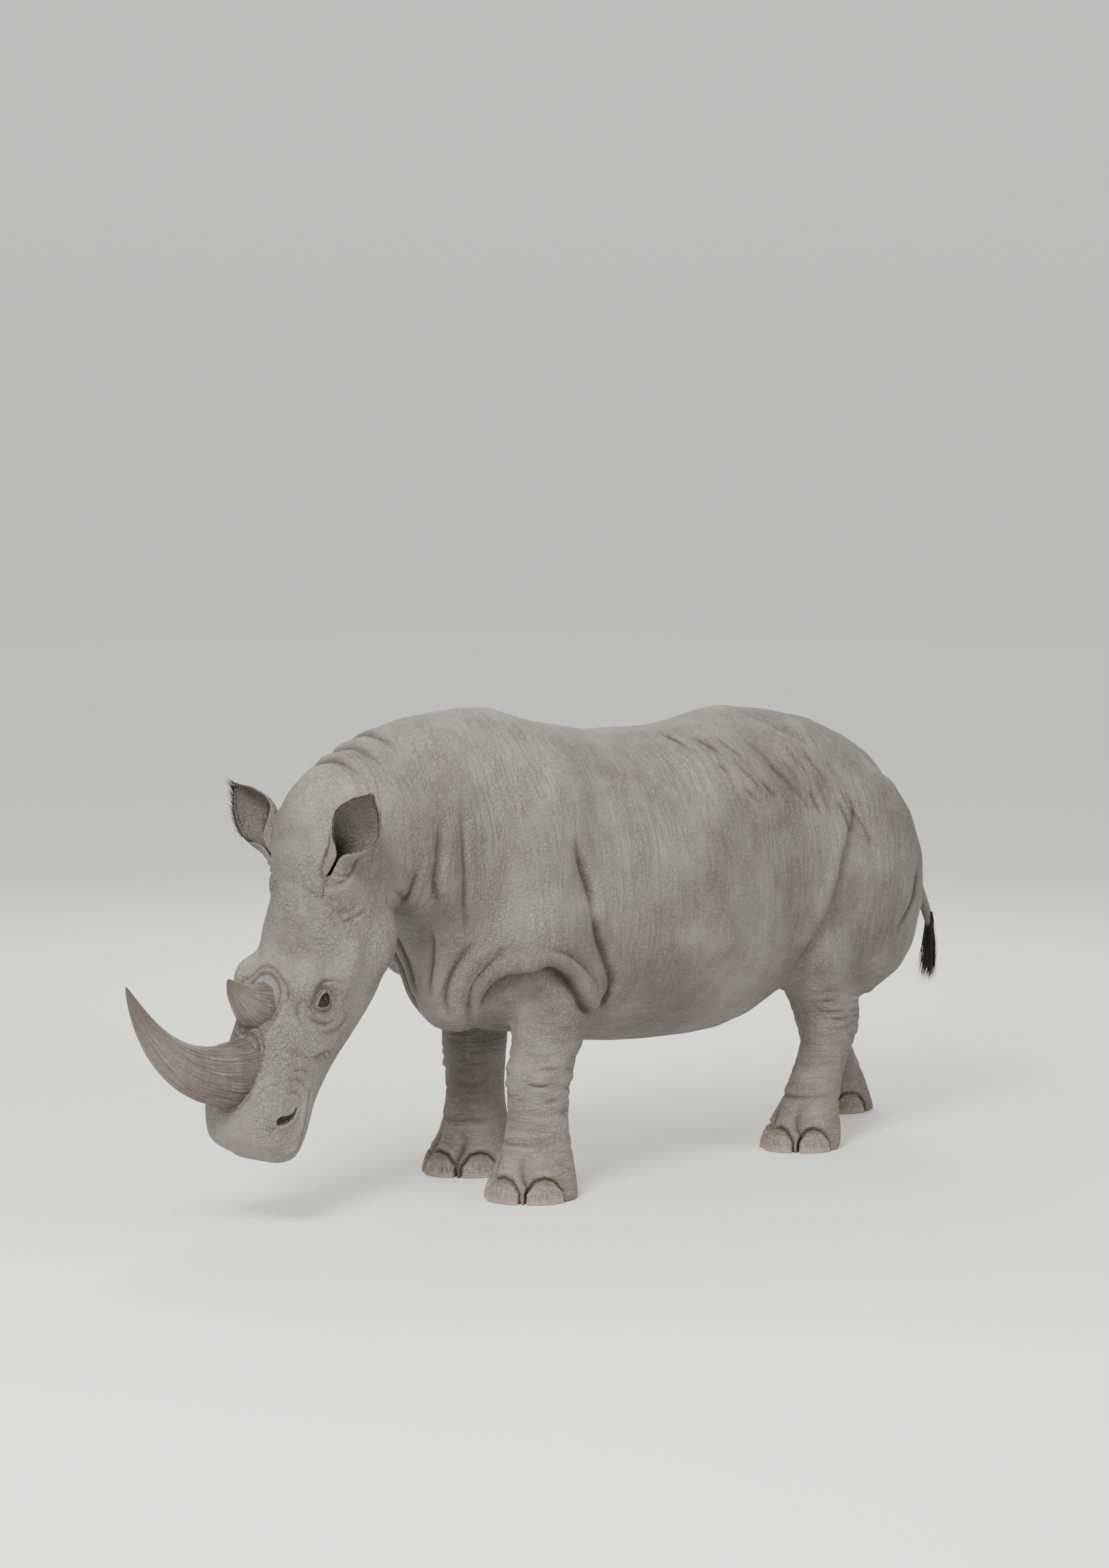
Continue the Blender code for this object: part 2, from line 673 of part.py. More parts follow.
def toenail(which, toe):
    """A broad hoof-like nail: a shield that wraps the foot's edge, sloped back and arched on top."""
    name, nail = f"{which}_{toe}_toenail", NAILS[toe]
    side, (sole_x, sole_y, _floor), sole = side_of(which), LEG_JOINTS[which][-1], girths(which)[-1]
    columns, levels = 5, 3
    points = []
    for inward in (0, TOENAIL_DEPTH):
        for share in np.linspace(-1, 1, columns):
            a = math.radians(nail.heading + nail.half_angle * share)
            top = TOENAIL_HEIGHT * math.sqrt(1 - NAIL_ARCH * share * share)
            for z in np.linspace(0, top, levels):
                proud = NAIL_PROUD - NAIL_SLOPE * z - inward - 0.004 * share * share
                x = sole_x + (sole.half_width + proud) * math.sin(a)
                points.append(Vector((side * x, sole_y - (sole.front + proud) * math.cos(a), z)))
    size = columns * levels
    faces = []
    for k in range(columns - 1):
        for level in range(levels - 1):
            a = k * levels + level
            outer = (a, a + levels, a + levels + 1, a + 1)
            faces += [outer, tuple(size + n for n in reversed(outer))]
    foot = [k * levels for k in range(columns)]
    last = [foot[-1] + level for level in range(1, levels)]
    top = [k * levels + levels - 1 for k in range(columns - 2, -1, -1)]
    rim = foot + last + top + list(range(levels - 2, 0, -1))
    for k, a in enumerate(rim):
        b = rim[(k + 1) % len(rim)]
        faces.append((b, a, size + a, size + b))
    return new_object(name, mesh_of(name, points, faces), "toenail")


def tail():
    """The thin tail: out over the rump, down, and swung a little to the left."""
    return loft("tail", [
        Ring(0.000, RUMP_END_Y - 0.10, 1.32, FLAT, 0.050, 0.060, 0.050, ROUND),
        Ring(0.000, RUMP_END_Y + 0.02, 1.23, FLAT, 0.044, 0.050, 0.044, ROUND),
        Ring(0.020, RUMP_END_Y + 0.12, 1.11, FLAT, 0.034, 0.034, 0.034, ROUND),
        Ring(0.055, RUMP_END_Y + 0.19, 0.98, FLAT, 0.026, 0.026, 0.026, ROUND),
        Ring(0.085, RUMP_END_Y + 0.23, 0.86, FLAT, 0.021, 0.021, 0.021, ROUND),
        Ring(0.105, RUMP_END_Y + 0.25, 0.77, FLAT, 0.017, 0.017, 0.017, ROUND),
    ], sides=8, steps=2)


def tail_tuft():
    """The bristles at the tail's end, as one flattened tapering lock."""
    return loft("tail_tuft", [
        Ring(0.105, RUMP_END_Y + 0.25, 0.7695, FLAT, 0.024, 0.018, 0.018, ROUND),
        Ring(0.115, RUMP_END_Y + 0.255, 0.72, FLAT, 0.040, 0.026, 0.026, ROUND),
        Ring(0.120, RUMP_END_Y + 0.25, 0.65, FLAT, 0.040, 0.024, 0.024, ROUND),
        Ring(0.115, RUMP_END_Y + 0.235, 0.57, FLAT, 0.026, 0.016, 0.016, ROUND),
        Ring(0.105, RUMP_END_Y + 0.22, 0.50, FLAT, 0.006, 0.005, 0.005, ROUND),
    ], sides=8, steps=2, material="tail_hair")


# ------------------------------------------------------------------ putting it together

def clear_scene():
    for obj in list(bpy.data.objects):
        bpy.data.objects.remove(obj)


def centre_on_floor(objects):
    """Moves all of it so that the origin is on the floor, under the middle of its box."""
    points = np.array([v.co for obj in objects for v in obj.data.vertices])
    middle = (points.min(axis=0) + points.max(axis=0)) / 2
    for obj in objects:
        obj.data.transform(Matrix.Translation((-middle[0], -middle[1], 0)))


def main():
    clear_scene()
    body = flesh()
    uncut = grown(body, 1.5 * CUT_GAP)
    head = part_off(body, "head", HEAD_REGION)
    parts = [body, head, part_off(body, "neck", NECK_REGION)]

    for which in LEG_JOINTS:
        leg_part = part_off(body, which + "_leg", leg_region(which))
        foot = part_off(leg_part, which + "_foot", feet_region)
        parts += [leg_part, foot]
        for toe in NAILS:
            nail_part = toenail(which, toe)
            fit_into(nail_part, foot)
            parts.append(nail_part)

    grown_on = [tail(), *(horn(name) for name in HORNS), *(ear(which) for which in SIDES)]
    for part in grown_on:
        boolean(part, uncut, "DIFFERENCE")
    bpy.data.objects.remove(uncut)
    parts += [*grown_on, tail_tuft()]

    for which in SIDES:
        for hollow in face_hollows(which):
            boolean(head, hollow, "DIFFERENCE")
            bpy.data.objects.remove(hollow)
        eye_part = eye(which)
        fit_into(eye_part, head)
        parts.append(eye_part)
    parts.append(part_off(head, "lower_jaw", jaw_region))

    centre_on_floor(parts)
    for part in parts:
        part.data.shade_smooth()
        part.data.name = part.name


main()
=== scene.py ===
# %% [markdown]
# # A white rhinoceros, life size
#
# This script dresses a finished set of solids as a living animal. The solids give the pose and the
# proportions. What they lack is skin: one hide over all the parts, folded where the body bends and
# cracked like dry mud. We make the hide, then the ears, horns, nails, eyes, tail and hair, then the
# finishes. Units are metres, +Z is up, the animal faces -Y and its left is +X.

# %% Load the frame
import math

import bpy
import numpy as np
from mathutils import Matrix, Vector
from mathutils.bvhtree import BVHTree


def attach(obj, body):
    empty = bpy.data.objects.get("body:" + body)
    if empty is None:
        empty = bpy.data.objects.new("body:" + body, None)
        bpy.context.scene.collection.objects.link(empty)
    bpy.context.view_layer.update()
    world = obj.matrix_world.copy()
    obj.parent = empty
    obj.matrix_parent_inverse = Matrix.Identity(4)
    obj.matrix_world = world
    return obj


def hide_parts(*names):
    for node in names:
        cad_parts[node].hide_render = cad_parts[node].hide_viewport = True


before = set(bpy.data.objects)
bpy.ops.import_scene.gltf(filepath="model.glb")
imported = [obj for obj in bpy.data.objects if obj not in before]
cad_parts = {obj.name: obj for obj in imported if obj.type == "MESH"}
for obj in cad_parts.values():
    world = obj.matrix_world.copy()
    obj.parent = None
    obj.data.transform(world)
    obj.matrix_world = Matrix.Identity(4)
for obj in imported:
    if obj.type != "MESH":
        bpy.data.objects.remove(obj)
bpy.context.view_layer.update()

# %% [markdown]
# ## Camera, floor and light
#
# The camera stands low, off the animal's left front, with a long lens, so the body isn't stretched
# by perspective. We could light it like a field at noon, but hard sun hides the folds. One large
# soft lamp high on the left rakes across the hide, a weak one fills the shadows, and one behind
# draws the edge of the back.

# %% The camera
AIM = Vector((0.02, -0.05, 1.42))
AZIMUTH, ELEVATION = math.radians(44), math.radians(4.1)
DISTANCE, LENS = 13.9, 88.8


def look(obj, place, at):
    """Puts a camera or a lamp somewhere, and turns it to face a point."""
    obj.location = place
    obj.rotation_euler = (Vector(at) - Vector(place)).to_track_quat("-Z", "Y").to_euler()


back = Vector((
    math.sin(AZIMUTH) * math.cos(ELEVATION),
    -math.cos(AZIMUTH) * math.cos(ELEVATION),
    math.sin(ELEVATION),
))
bpy.ops.object.camera_add()
camera = bpy.context.object
camera.name = "camera"
camera.data.lens = LENS
look(camera, AIM + back * DISTANCE, AIM)
bpy.context.scene.camera = camera
print("camera at", [round(c, 2) for c in camera.location])

# %% The lamps
LAMPS = {  # name: place, size, power
    "key": ((3.6, -7.4, 7.4), 3.2, 1480),
    "fill": ((8.5, 2.5, 3.2), 2.6, 190),
    "rim": ((-5.5, 5.5, 6.0), 4.0, 420),
}
for name, (place, size, power) in LAMPS.items():
    bpy.ops.object.light_add(type="AREA")
    lamp = bpy.context.object
    lamp.name = name
    lamp.data.size = size
    lamp.data.energy = power
    look(lamp, place, (0, 0, 0.8))

room = bpy.data.worlds.new("pale_room")
room.use_nodes = True
nodes, links = room.node_tree.nodes, room.node_tree.links
way = nodes.new("ShaderNodeTexCoord")
height = nodes.new("ShaderNodeSeparateXYZ")
ramp = nodes.new("ShaderNodeValToRGB")
WALL = (  # height and colour: as pale as the far floor low down, paler above
    (0.02, (0.735, 0.73, 0.72, 1)), (0.40, (0.95, 0.95, 0.945, 1)),
)
for element, (position, colour) in zip(ramp.color_ramp.elements, WALL):
    element.position, element.color = position, colour
links.new(way.outputs["Generated"], height.inputs[0])
links.new(height.outputs["Z"], ramp.inputs[0])
links.new(ramp.outputs[0], nodes["Background"].inputs["Color"])
nodes["Background"].inputs["Strength"].default_value = 1.05
bpy.context.scene.world = room

# %% The floor
FLOOR_SIZE = 90  # so wide that its far edge melts into the wall
bpy.ops.mesh.primitive_plane_add(size=FLOOR_SIZE)
floor = bpy.context.object
floor.name = "floor"
floor.data.materials.append(bpy.data.materials.new("pale_floor"))
floor.data.materials[0].use_nodes = True
paint = floor.data.materials[0].node_tree.nodes["Principled BSDF"]
paint.inputs["Base Color"].default_value = (0.80, 0.795, 0.78, 1)
paint.inputs["Roughness"].default_value = 0.9
print("lamps:", len(LAMPS))

# %% [markdown]
# ## Where things are
#
# Everything on the head is placed by the head's own axes: a share of its length from the nape
# towards the lips, a height above its axis, and a distance to the left. It is easier to think in
# these than in x, y and z, because the head hangs steeply. The feet are placed by their soles.

# %% The head's axes
HEAD_ROOT = Vector((0, -1.126, 1.235))
HEAD_PITCH = math.radians(64)  # how far the head hangs below level
HEAD_LENGTH = 1.05
FORWARD = Vector((0, -math.cos(HEAD_PITCH), -math.sin(HEAD_PITCH)))
CROWN = Vector((0, -math.sin(HEAD_PITCH), math.cos(HEAD_PITCH)))
LEFT = Vector((1, 0, 0))
SIDES = {"left": 1, "right": -1}


def on_head(along, up, across=0.0):
    return HEAD_ROOT + FORWARD * along * HEAD_LENGTH + CROWN * up + LEFT * across


print("lips at", [round(c, 2) for c in on_head(1, -0.1)])

# %% The feet
SOLES = {  # the middle of each sole
    "front_left": Vector((0.275, -0.416, 0)),
    "front_right": Vector((-0.275, -0.186, 0)),
    "hind_left": Vector((0.260, 1.054, 0)),
    "hind_right": Vector((-0.250, 1.874, 0)),
}


def side_of(name):
    return SIDES["left" if "left" in name else "right"]


# %% [markdown]
# ## The hide's base
#
# The body, head and legs are separate solids with thin cuts between them, and flat facets. A hide
# has neither. We could model it afresh, but then it would drift from the solids. Instead we copy
# their meshes, join them, and let a voxel remesh wrap them in one even net. It closes the cuts.
# Then the net is relaxed, which takes the facets off, and subdivided, which makes it fine enough
# for folds.

# %% Copy the flesh
LEGS = list(SOLES)
FLESH = ["trunk", "neck", "head", "lower_jaw"]
FLESH += [leg + part for leg in LEGS for part in ("_leg", "_foot")]


def deselect():
    bpy.ops.object.select_all(action="DESELECT")


def choose(*objs):
    """Selects these objects alone. The first is the active one."""
    deselect()
    for obj in objs:
        obj.select_set(True)
    bpy.context.view_layer.objects.active = objs[0]


def apply_modifier(obj, kind, **values):
    choose(obj)
    modifier = obj.modifiers.new(kind.lower(), kind)
    for key, value in values.items():
        setattr(modifier, key, value)
    bpy.ops.object.modifier_apply(modifier=modifier.name)


def copy_of_nodes(nodes, name):
    """One object that holds copies of the solids' meshes, with their loose triangles merged."""
    copies = []
    for node in nodes:
        copies.append(bpy.data.objects.new(name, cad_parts[node].data.copy()))
        bpy.context.scene.collection.objects.link(copies[-1])
    choose(*copies)
    if len(copies) > 1:
        bpy.ops.object.join()
    obj = bpy.context.object
    bpy.ops.object.mode_set(mode="EDIT")
    bpy.ops.mesh.select_all(action="SELECT")
    bpy.ops.mesh.remove_doubles(threshold=0.00005)
    bpy.ops.object.mode_set(mode="OBJECT")
    obj.data.materials.clear()
    return obj


hide = copy_of_nodes(FLESH + ["left_eye", "right_eye"], "hide")
print("copied flesh:", len(hide.data.vertices), "points")

# %% Wrap it in one net
NET = 0.014  # the side of one square of the net
apply_modifier(hide, "REMESH", mode="VOXEL", voxel_size=NET)
print("net:", len(hide.data.polygons), "squares")


# %% Relax the net
def read(mesh, name="vertices", field="co"):
    """A field of the mesh's points as an array with three columns."""
    items = getattr(mesh, name)
    values = np.empty(len(items) * 3, np.float32)
    items.foreach_get(field, values)
    return values.reshape(-1, 3).astype(float)


def write(mesh, points):
    mesh.vertices.foreach_set("co", points.astype(np.float32).ravel())
    mesh.update()


def edges_of(mesh):
    pairs = np.empty(len(mesh.edges) * 2, np.int32)
    mesh.edges.foreach_get("vertices", pairs)
    return pairs.reshape(-1, 2)


def average_of_neighbours(values, pairs, count):
    total = np.zeros_like(values)
    for column in range(values.shape[1]):
        total[:, column] = np.bincount(pairs[:, 0], values[pairs[:, 1], column], len(values))
        total[:, column] += np.bincount(pairs[:, 1], values[pairs[:, 0], column], len(values))
    return total / count[:, None]


def relax(mesh, rounds):
    """Smooths without shrinking: each step in is followed by a slightly longer step out."""
    points, pairs = read(mesh), edges_of(mesh)
    count = np.bincount(pairs.ravel(), minlength=len(points))
    for _ in range(rounds):
        for step in (0.50, -0.52):
            drift = average_of_neighbours(points, pairs, count) - points
            points += drift * step
    write(mesh, points)


def smoothstep(values, start, end):
    share = np.clip((values - start) / (end - start), 0, 1)
    return share * share * (3 - 2 * share)


RELAX_ROUNDS = 70
before = read(hide.data)
relax(hide.data, RELAX_ROUNDS)
moved = np.linalg.norm(read(hide.data) - before, axis=1)
print("relaxed by up to", round(float(moved.max()) * 1000, 1), "mm")

# %% Subdivide it
apply_modifier(hide, "SUBSURF", levels=1, render_levels=1)
points = read(hide.data)
points[:, 2] = np.maximum(points[:, 2], 0)
write(hide.data, points)
print("fine net:", len(hide.data.polygons), "squares")

# %% [markdown]
# ## How a fold is pressed
#
# A fold of hide has three parts: a roll that stands proud on one side, a narrow groove, and a
# gentle rise on the other side. We draw each fold as a line of a few named points on the body.
# The line is smoothed and laid on the hide, and every point of the hide near it moves in or out
# by its distance from the line. The same distances are kept as an attribute named crease, so
# that the finish can paint shade into the grooves. Sculpting by hand would do it too, but in code
# each fold can be moved by changing a number.

# %% Hold the hide's points
class Clay:
    """The hide while it is worked: its points, their normals, and how deep in a crease each is.

    The crease depth is painted as shade by the hide's finish.
    """

    def __init__(self, obj):
        self.obj = obj
        if "crease" not in obj.data.attributes:
            obj.data.attributes.new("crease", "FLOAT", "POINT")
        self.load()

    def load(self):
        mesh = self.obj.data
        self.points = read(mesh)
        self.normals = read(mesh, "vertex_normals", "vector")
        values = np.empty(len(mesh.vertices), np.float32)
        mesh.attributes["crease"].data.foreach_get("value", values)
        self.crease = values.astype(float)
        bpy.context.view_layer.update()
        self.tree = BVHTree.FromObject(self.obj, bpy.context.evaluated_depsgraph_get())

    def settle(self):
        """Writes the moved points to the mesh, and reads their new normals."""
        write(self.obj.data, self.points)
        self.obj.data.attributes["crease"].data.foreach_set("value", self.crease.astype(np.float32))
        self.load()

    def nearest(self, point):
        place, normal, _face, _distance = self.tree.find_nearest(Vector(point))
        return place, normal

    def from_side(self, side, y, z):
        """Where a level line from that side of the animal first meets the hide."""
        place, *_rest = self.tree.ray_cast(Vector((side * 2, y, z)), Vector((-side, 0, 0)))
        return place

    def from_behind(self, x, z):
        """Where a level line from behind the animal first meets the hide."""
        place, *_rest = self.tree.ray_cast(Vector((x, 4, z)), Vector((0, -1, 0)))
        return place

    def from_inside(self, centre, direction):
        """Where a line from inside the body comes out."""
        place, *_rest = self.tree.ray_cast(Vector(centre), Vector(direction).normalized())
        return place


clay = Clay(hide)
print("hide to fold:", len(clay.points), "points")


# %% Draw a line on the hide
def between(a, b, c, d, t):
    """A smooth curve through four values or points, at the share t of its way from b to c."""
    return 0.5 * (
        2 * b + (c - a) * t + (2 * a - 5 * b + 4 * c - d) * t ** 2
        + (3 * b - a - 3 * c + d) * t ** 3
    )


def smooth_line(points, spacing=0.006):
    """A smooth line through the points, with samples that close together."""
    points = [Vector(p) for p in points]
    ends = [2 * points[0] - points[1], *points, 2 * points[-1] - points[-2]]
    line = []
    for a, b, c, d in zip(ends, ends[1:], ends[2:], ends[3:]):
        steps = max(2, round((c - b).length / spacing))
        line += [between(a, b, c, d, k / steps) for k in range(steps)]
    return line + [points[-1]]


def lie_on(clay, line):
    """The line's samples on the hide, with the way it runs and the hide's normal at each."""
    placed = [clay.nearest(p) for p in line]
    spots = np.array([place for place, _normal in placed])
    normals = np.array([normal for _place, normal in placed])
    ways = np.gradient(spots, axis=0)
    ways /= np.linalg.norm(ways, axis=1)[:, None] + 1e-9
    return spots, ways, normals


# %% Press a fold along a line
TINY = 1e-5  # stands in for a fade of nothing, which can't be divided by


def press(clay, points, depth, width, roll=0.0, dark=1.0, fade=0.25, pinch=0.35):
    """Presses a fold. The roll stands on the left of the line, as seen from outside.

    dark is how dark the painted shade in the groove gets, and pinch how far its sides are drawn
    together. The fold fades out at its ends over a share of its length, or over two shares, one
    for each end.
    """
    spots, ways, faces = lie_on(clay, smooth_line(points))
    share = np.linspace(0, 1, len(spots))
    reach = 4 * width
    low, high = spots.min(axis=0) - reach, spots.max(axis=0) + reach
    near = np.flatnonzero(((clay.points > low) & (clay.points < high)).all(axis=1))
    p, n = clay.points[near], clay.normals[near]
    closest = np.zeros(len(near), int)
    least = np.full(len(near), np.inf)
    for k, spot in enumerate(spots):
        distance = ((p - spot) ** 2).sum(axis=1)
        closer = distance < least
        closest[closer], least[closer] = k, distance[closer]
    offset, way, face = p - spots[closest], ways[closest], faces[closest]
    left = np.cross(face, way)
    left /= np.linalg.norm(left, axis=1)[:, None] + 1e-9
    aside = (offset * left).sum(axis=1)
    past = (offset * way).sum(axis=1)
    start, stop = fade if isinstance(fade, tuple) else (fade, fade)
    start, stop = max(start, TINY), max(stop, TINY)
    strength = np.minimum((share + TINY) / start, (1 - share + TINY) / stop)
    strength = np.sin(np.clip(strength, 0, 1)[closest] * math.pi / 2)
    strength *= np.exp(-(past / width) ** 2) * (least < reach ** 2)
    strength *= smoothstep((n * face).sum(axis=1), 0.0, 0.4)
    groove_width = np.where(aside > 0, 0.60, 1.25) * width
    groove = np.exp(-(aside / groove_width) ** 2)
    rise = np.exp(-((aside - 1.7 * width) / (1.25 * width)) ** 2)
    push = (roll * rise - depth * groove) * strength
    drag = aside * pinch * np.exp(-(aside / width) ** 2) * strength
    clay.points[near] += n * push[:, None] - left * drag[:, None]
    # The groove's painted shade, kept in the crease attribute.
    deep = dark * strength * np.exp(-(aside / (0.55 * width)) ** 2)
    clay.crease[near] = np.maximum(clay.crease[near], deep)


def swell(clay, centre, radius, height, stretch=(1, 1, 1)):
    """Raises the hide round a point, or hollows it where the height is negative."""
    offset = (clay.points - np.array(centre)) / np.array(stretch)
    clay.points += clay.normals * (height * np.exp(-((offset / radius) ** 2).sum(axis=1)))[:, None]


# %% [markdown]
# ## Anatomy under the hide
#
# The solids have the big forms. Before any folds, a few bones and muscles are raised a little
# more: the ridge of the shoulder blade, the points of the shoulder and the hip, the ribs, the
# buttock, the brow and the cheek. The hollows of the flank, of the temple and before the eye go
# in. They are broad and shallow, and mostly they catch the light.

# %% Raise bones and muscles
RIBS = (  # y, z and how far it is raised
    (0.03, 1.00, 0.0030), (0.145, 0.96, 0.0038), (0.245, 1.04, 0.0022), (0.37, 0.98, 0.0032),
)
for side in SIDES.values():
    swell(clay, (side * 0.40, -0.44, 1.18), 0.16, 0.016, (1, 0.55, 1.5))  # the ridge of the blade
    swell(clay, (side * 0.36, -0.58, 0.92), 0.13, 0.016)  # the point of the shoulder
    swell(clay, (side * 0.30, 0.96, 1.50), 0.12, 0.018)  # the point of the hip
    swell(clay, (side * 0.46, 0.66, 1.24), 0.20, -0.020, (1, 0.9, 1.2))  # the hollow of the flank
    swell(clay, (side * 0.40, -0.14, 1.30), 0.20, -0.012, (1, 0.8, 1.3))  # behind the blade
    swell(clay, (side * 0.22, 1.66, 1.05), 0.16, 0.015)  # the buttock
    for y, z, height in RIBS:
        swell(clay, (side * 0.47, y, z), 0.046, height, (4, 0.8, 4.5))
    swell(clay, on_head(0.50, 0.055, side * 0.13), 0.045, 0.010)  # the brow
    swell(clay, on_head(0.60, -0.045, side * 0.16), 0.060, -0.012)  # before the eye
    swell(clay, on_head(0.37, 0.06, side * 0.15), 0.070, -0.012)  # the temple
    swell(clay, on_head(0.33, -0.14, side * 0.17), 0.090, 0.010)  # the cheek
    swell(clay, on_head(0.88, -0.02, side * 0.16), 0.055, 0.010)  # the wing of the nostril
clay.settle()
print("anatomy raised; widest half:", round(float(np.abs(clay.points[:, 0]).max()), 3))

# %% [markdown]
# ## Finer hide where it matters
#
# Lids, nostrils and lips need points two or three millimetres apart, and the flank doesn't. The
# squares near the face's openings are split in four, twice for the eyes.

# %% Split the squares of the face
EYES = {name: on_head(0.480, -0.032, side * 0.153) for name, side in SIDES.items()}
EYE_RADIUS = 0.033
NOSTRILS = {name: on_head(0.875, -0.055, side * 0.165) for name, side in SIDES.items()}
MOUTH_CORNER = on_head(0.70, -0.135)
MOUTH_PITCH = HEAD_PITCH + math.radians(4)
MOUTH_FORWARD = Vector((0, -math.cos(MOUTH_PITCH), -math.sin(MOUTH_PITCH)))
MOUTH_UP = Vector((0, -math.sin(MOUTH_PITCH), math.cos(MOUTH_PITCH)))


def split_near(obj, wanted):
    """Splits in four the faces whose middles the given function picks."""
    middles = np.array([face.center for face in obj.data.polygons])
    picked = wanted(middles)
    choose(obj)
    bpy.ops.object.mode_set(mode="EDIT")
    bpy.ops.mesh.select_mode(type="FACE")
    bpy.ops.mesh.select_all(action="DESELECT")
    bpy.ops.object.mode_set(mode="OBJECT")
    obj.data.polygons.foreach_set("select", picked)
    bpy.ops.object.mode_set(mode="EDIT")
    bpy.ops.mesh.subdivide(number_cuts=1, smoothness=0)
    bpy.ops.object.mode_set(mode="OBJECT")
    return int(picked.sum())


def within(centres, radius):
    def wanted(middles):
        gaps = [np.linalg.norm(middles - np.array(centre), axis=1) for centre in centres]
        return np.min(gaps, axis=0) < radius
    return wanted


def near_lips(middles):
    offset = middles - np.array(MOUTH_CORNER)
    height, ahead = offset @ np.array(MOUTH_UP), offset @ np.array(MOUTH_FORWARD)
    return (np.abs(height) < 0.030) & (ahead > -0.04)


print("eyes:", split_near(hide, within(EYES.values(), 0.100)))
print("eyes again:", split_near(hide, within(EYES.values(), 0.055)))
print("nostrils:", split_near(hide, within(NOSTRILS.values(), 0.085)))
print("lips:", split_near(hide, near_lips))
clay.load()

# %% [markdown]
# ## The eyes' lids
#
# A rhinoceros has small eyes in a nest of wrinkles. The lid is a thick rim that lies on the
# eyeball. Inside the opening the hide dives behind the ball, at the rim it stands a few
# millimetres off it, and outside it meets the cheek through rings of folds. We measure each point
# by how many openings wide it lies from the eye's middle: under 1 is inside, and the rings are at
# fixed values above 1.

# %% Shape the lids
OPENING = 0.0295, 0.0225  # half the opening's length and height
LID = 0.0050  # how thick the lid is
OPENING_TILT = math.radians(26)  # the opening is more level than the head
LID_EDGE = 0.75  # share of the ball's radius at which the lid leaves it
LID_RINGS = (  # how many openings out, depth, width
    (1.42, 0.0030, 0.10), (1.85, 0.0034, 0.14), (2.40, 0.0032, 0.18), (3.1, 0.0024, 0.24),
)


def shape_lids(clay, eye, side):
    """Lays the hide over the eyeball, opens it, and rings the opening with folds."""
    centre, out = np.array(eye), np.array(LEFT * side)
    offset = clay.points - centre
    ahead, up, height = offset @ np.array(FORWARD), offset @ np.array(CROWN), offset @ out
    near = (np.hypot(ahead, up) < 0.10) & (height > -0.05)
    a = ahead * math.cos(OPENING_TILT) + up * math.sin(OPENING_TILT)
    b = up * math.cos(OPENING_TILT) - ahead * math.sin(OPENING_TILT)
    half_height = OPENING[1] * np.clip(1 - 0.30 * (a / OPENING[0]) ** 2, 0.35, 1)
    rings = np.hypot(a / OPENING[0], b / half_height)
    ball = np.sqrt(np.maximum(EYE_RADIUS ** 2 - ahead ** 2 - up ** 2, 0))
    distance = np.hypot(ahead, up)
    edge = LID_EDGE * EYE_RADIUS
    to_cheek = math.sqrt(1 - LID_EDGE ** 2) * EYE_RADIUS - 1.1 * (distance - edge)
    mound = np.where(distance < edge, ball, to_cheek) + LID * np.where(b > 0, 1.25, 1.0)
    cover = 1 - smoothstep(distance, 0.028, 0.062)
    shaped = np.maximum(height, -0.01) * (1 - cover)
    shaped += np.maximum(mound, height * 0.55) * cover
    # Painted shade: the hide inside the opening and in the rings of folds round it is marked dark.
    dark = 1 - smoothstep(rings, 0.92, 1.10)
    for place, depth, width in LID_RINGS:
        wave = np.exp(-((rings - place - 0.12 * np.sin(3 * np.arctan2(b, a))) / width) ** 2)
        weight = np.where(b > 0, 1.0, 0.85) * wave * (1 - smoothstep(distance, 0.05, 0.085))
        shaped -= depth * weight
        dark = np.maximum(dark, 0.75 * weight)
    shaped = np.where(distance < 1.1 * EYE_RADIUS, np.maximum(shaped, ball + 0.0022), shaped)
    inside = 1 - smoothstep(rings, 0.80, 1.12)
    shaped = shaped * (1 - inside) + (ball - 0.006) * inside
    swap = near * (1 - smoothstep(distance, 0.070, 0.098))
    clay.points += out * ((shaped - height) * swap)[:, None]
    clay.crease = np.maximum(clay.crease, dark * swap)


for name, side in SIDES.items():
    shape_lids(clay, EYES[name], side)
clay.settle()
print("lids open", round(2000 * OPENING[0]), "by", round(2000 * OPENING[1]), "mm")

# %% Fold the brow and the cheek
EYE_FOLDS = (  # in the left side's y and z, and how deep
    ((-1.380, 0.800), (-1.335, 0.828), (-1.280, 0.832), (-1.235, 0.815), 0.0060),
    ((-1.385, 0.735), (-1.350, 0.700), (-1.300, 0.686), (-1.250, 0.700), 0.0050),
    ((-1.330, 0.662), (-1.275, 0.655), (-1.225, 0.680), (-1.200, 0.720), 0.0050),
    ((-1.405, 0.790), (-1.412, 0.750), (-1.400, 0.705), (-1.385, 0.680), 0.0040),
)
for side in SIDES.values():
    for *places, depth in EYE_FOLDS:
        line = [clay.from_side(side, y, z) for y, z in places]
        press(clay, line[::side], depth, 0.011, roll=0.8 * depth, dark=0.7, fade=0.45)
clay.settle()
print("folds round each eye:", len(EYE_FOLDS))

# %% [markdown]
# ## The mouth
#
# The lips are broad and square, made for cropping grass. One long fold runs right round the
# muzzle from corner to corner, in a plane that tips a little more than the head. Its points come
# from lines drawn outwards from inside the muzzle, so it follows the lips whatever their shape.

# %% Part the lips
def fan(clay, centre, ahead, aside, start, stop, steps, lift, rise):
    """Points where lines from the centre come out, between two angles from straight ahead.

    Towards the ends of the fan the points are lifted, at the very ends by the rise.
    """
    points = []
    widest = math.radians(max(abs(start), abs(stop)))
    for angle in np.linspace(math.radians(start), math.radians(stop), steps):
        place = clay.from_inside(centre, ahead * math.cos(angle) + aside * math.sin(angle))
        if place is not None:
            points.append(place + lift * rise * abs(angle / widest) ** 5)
    return points


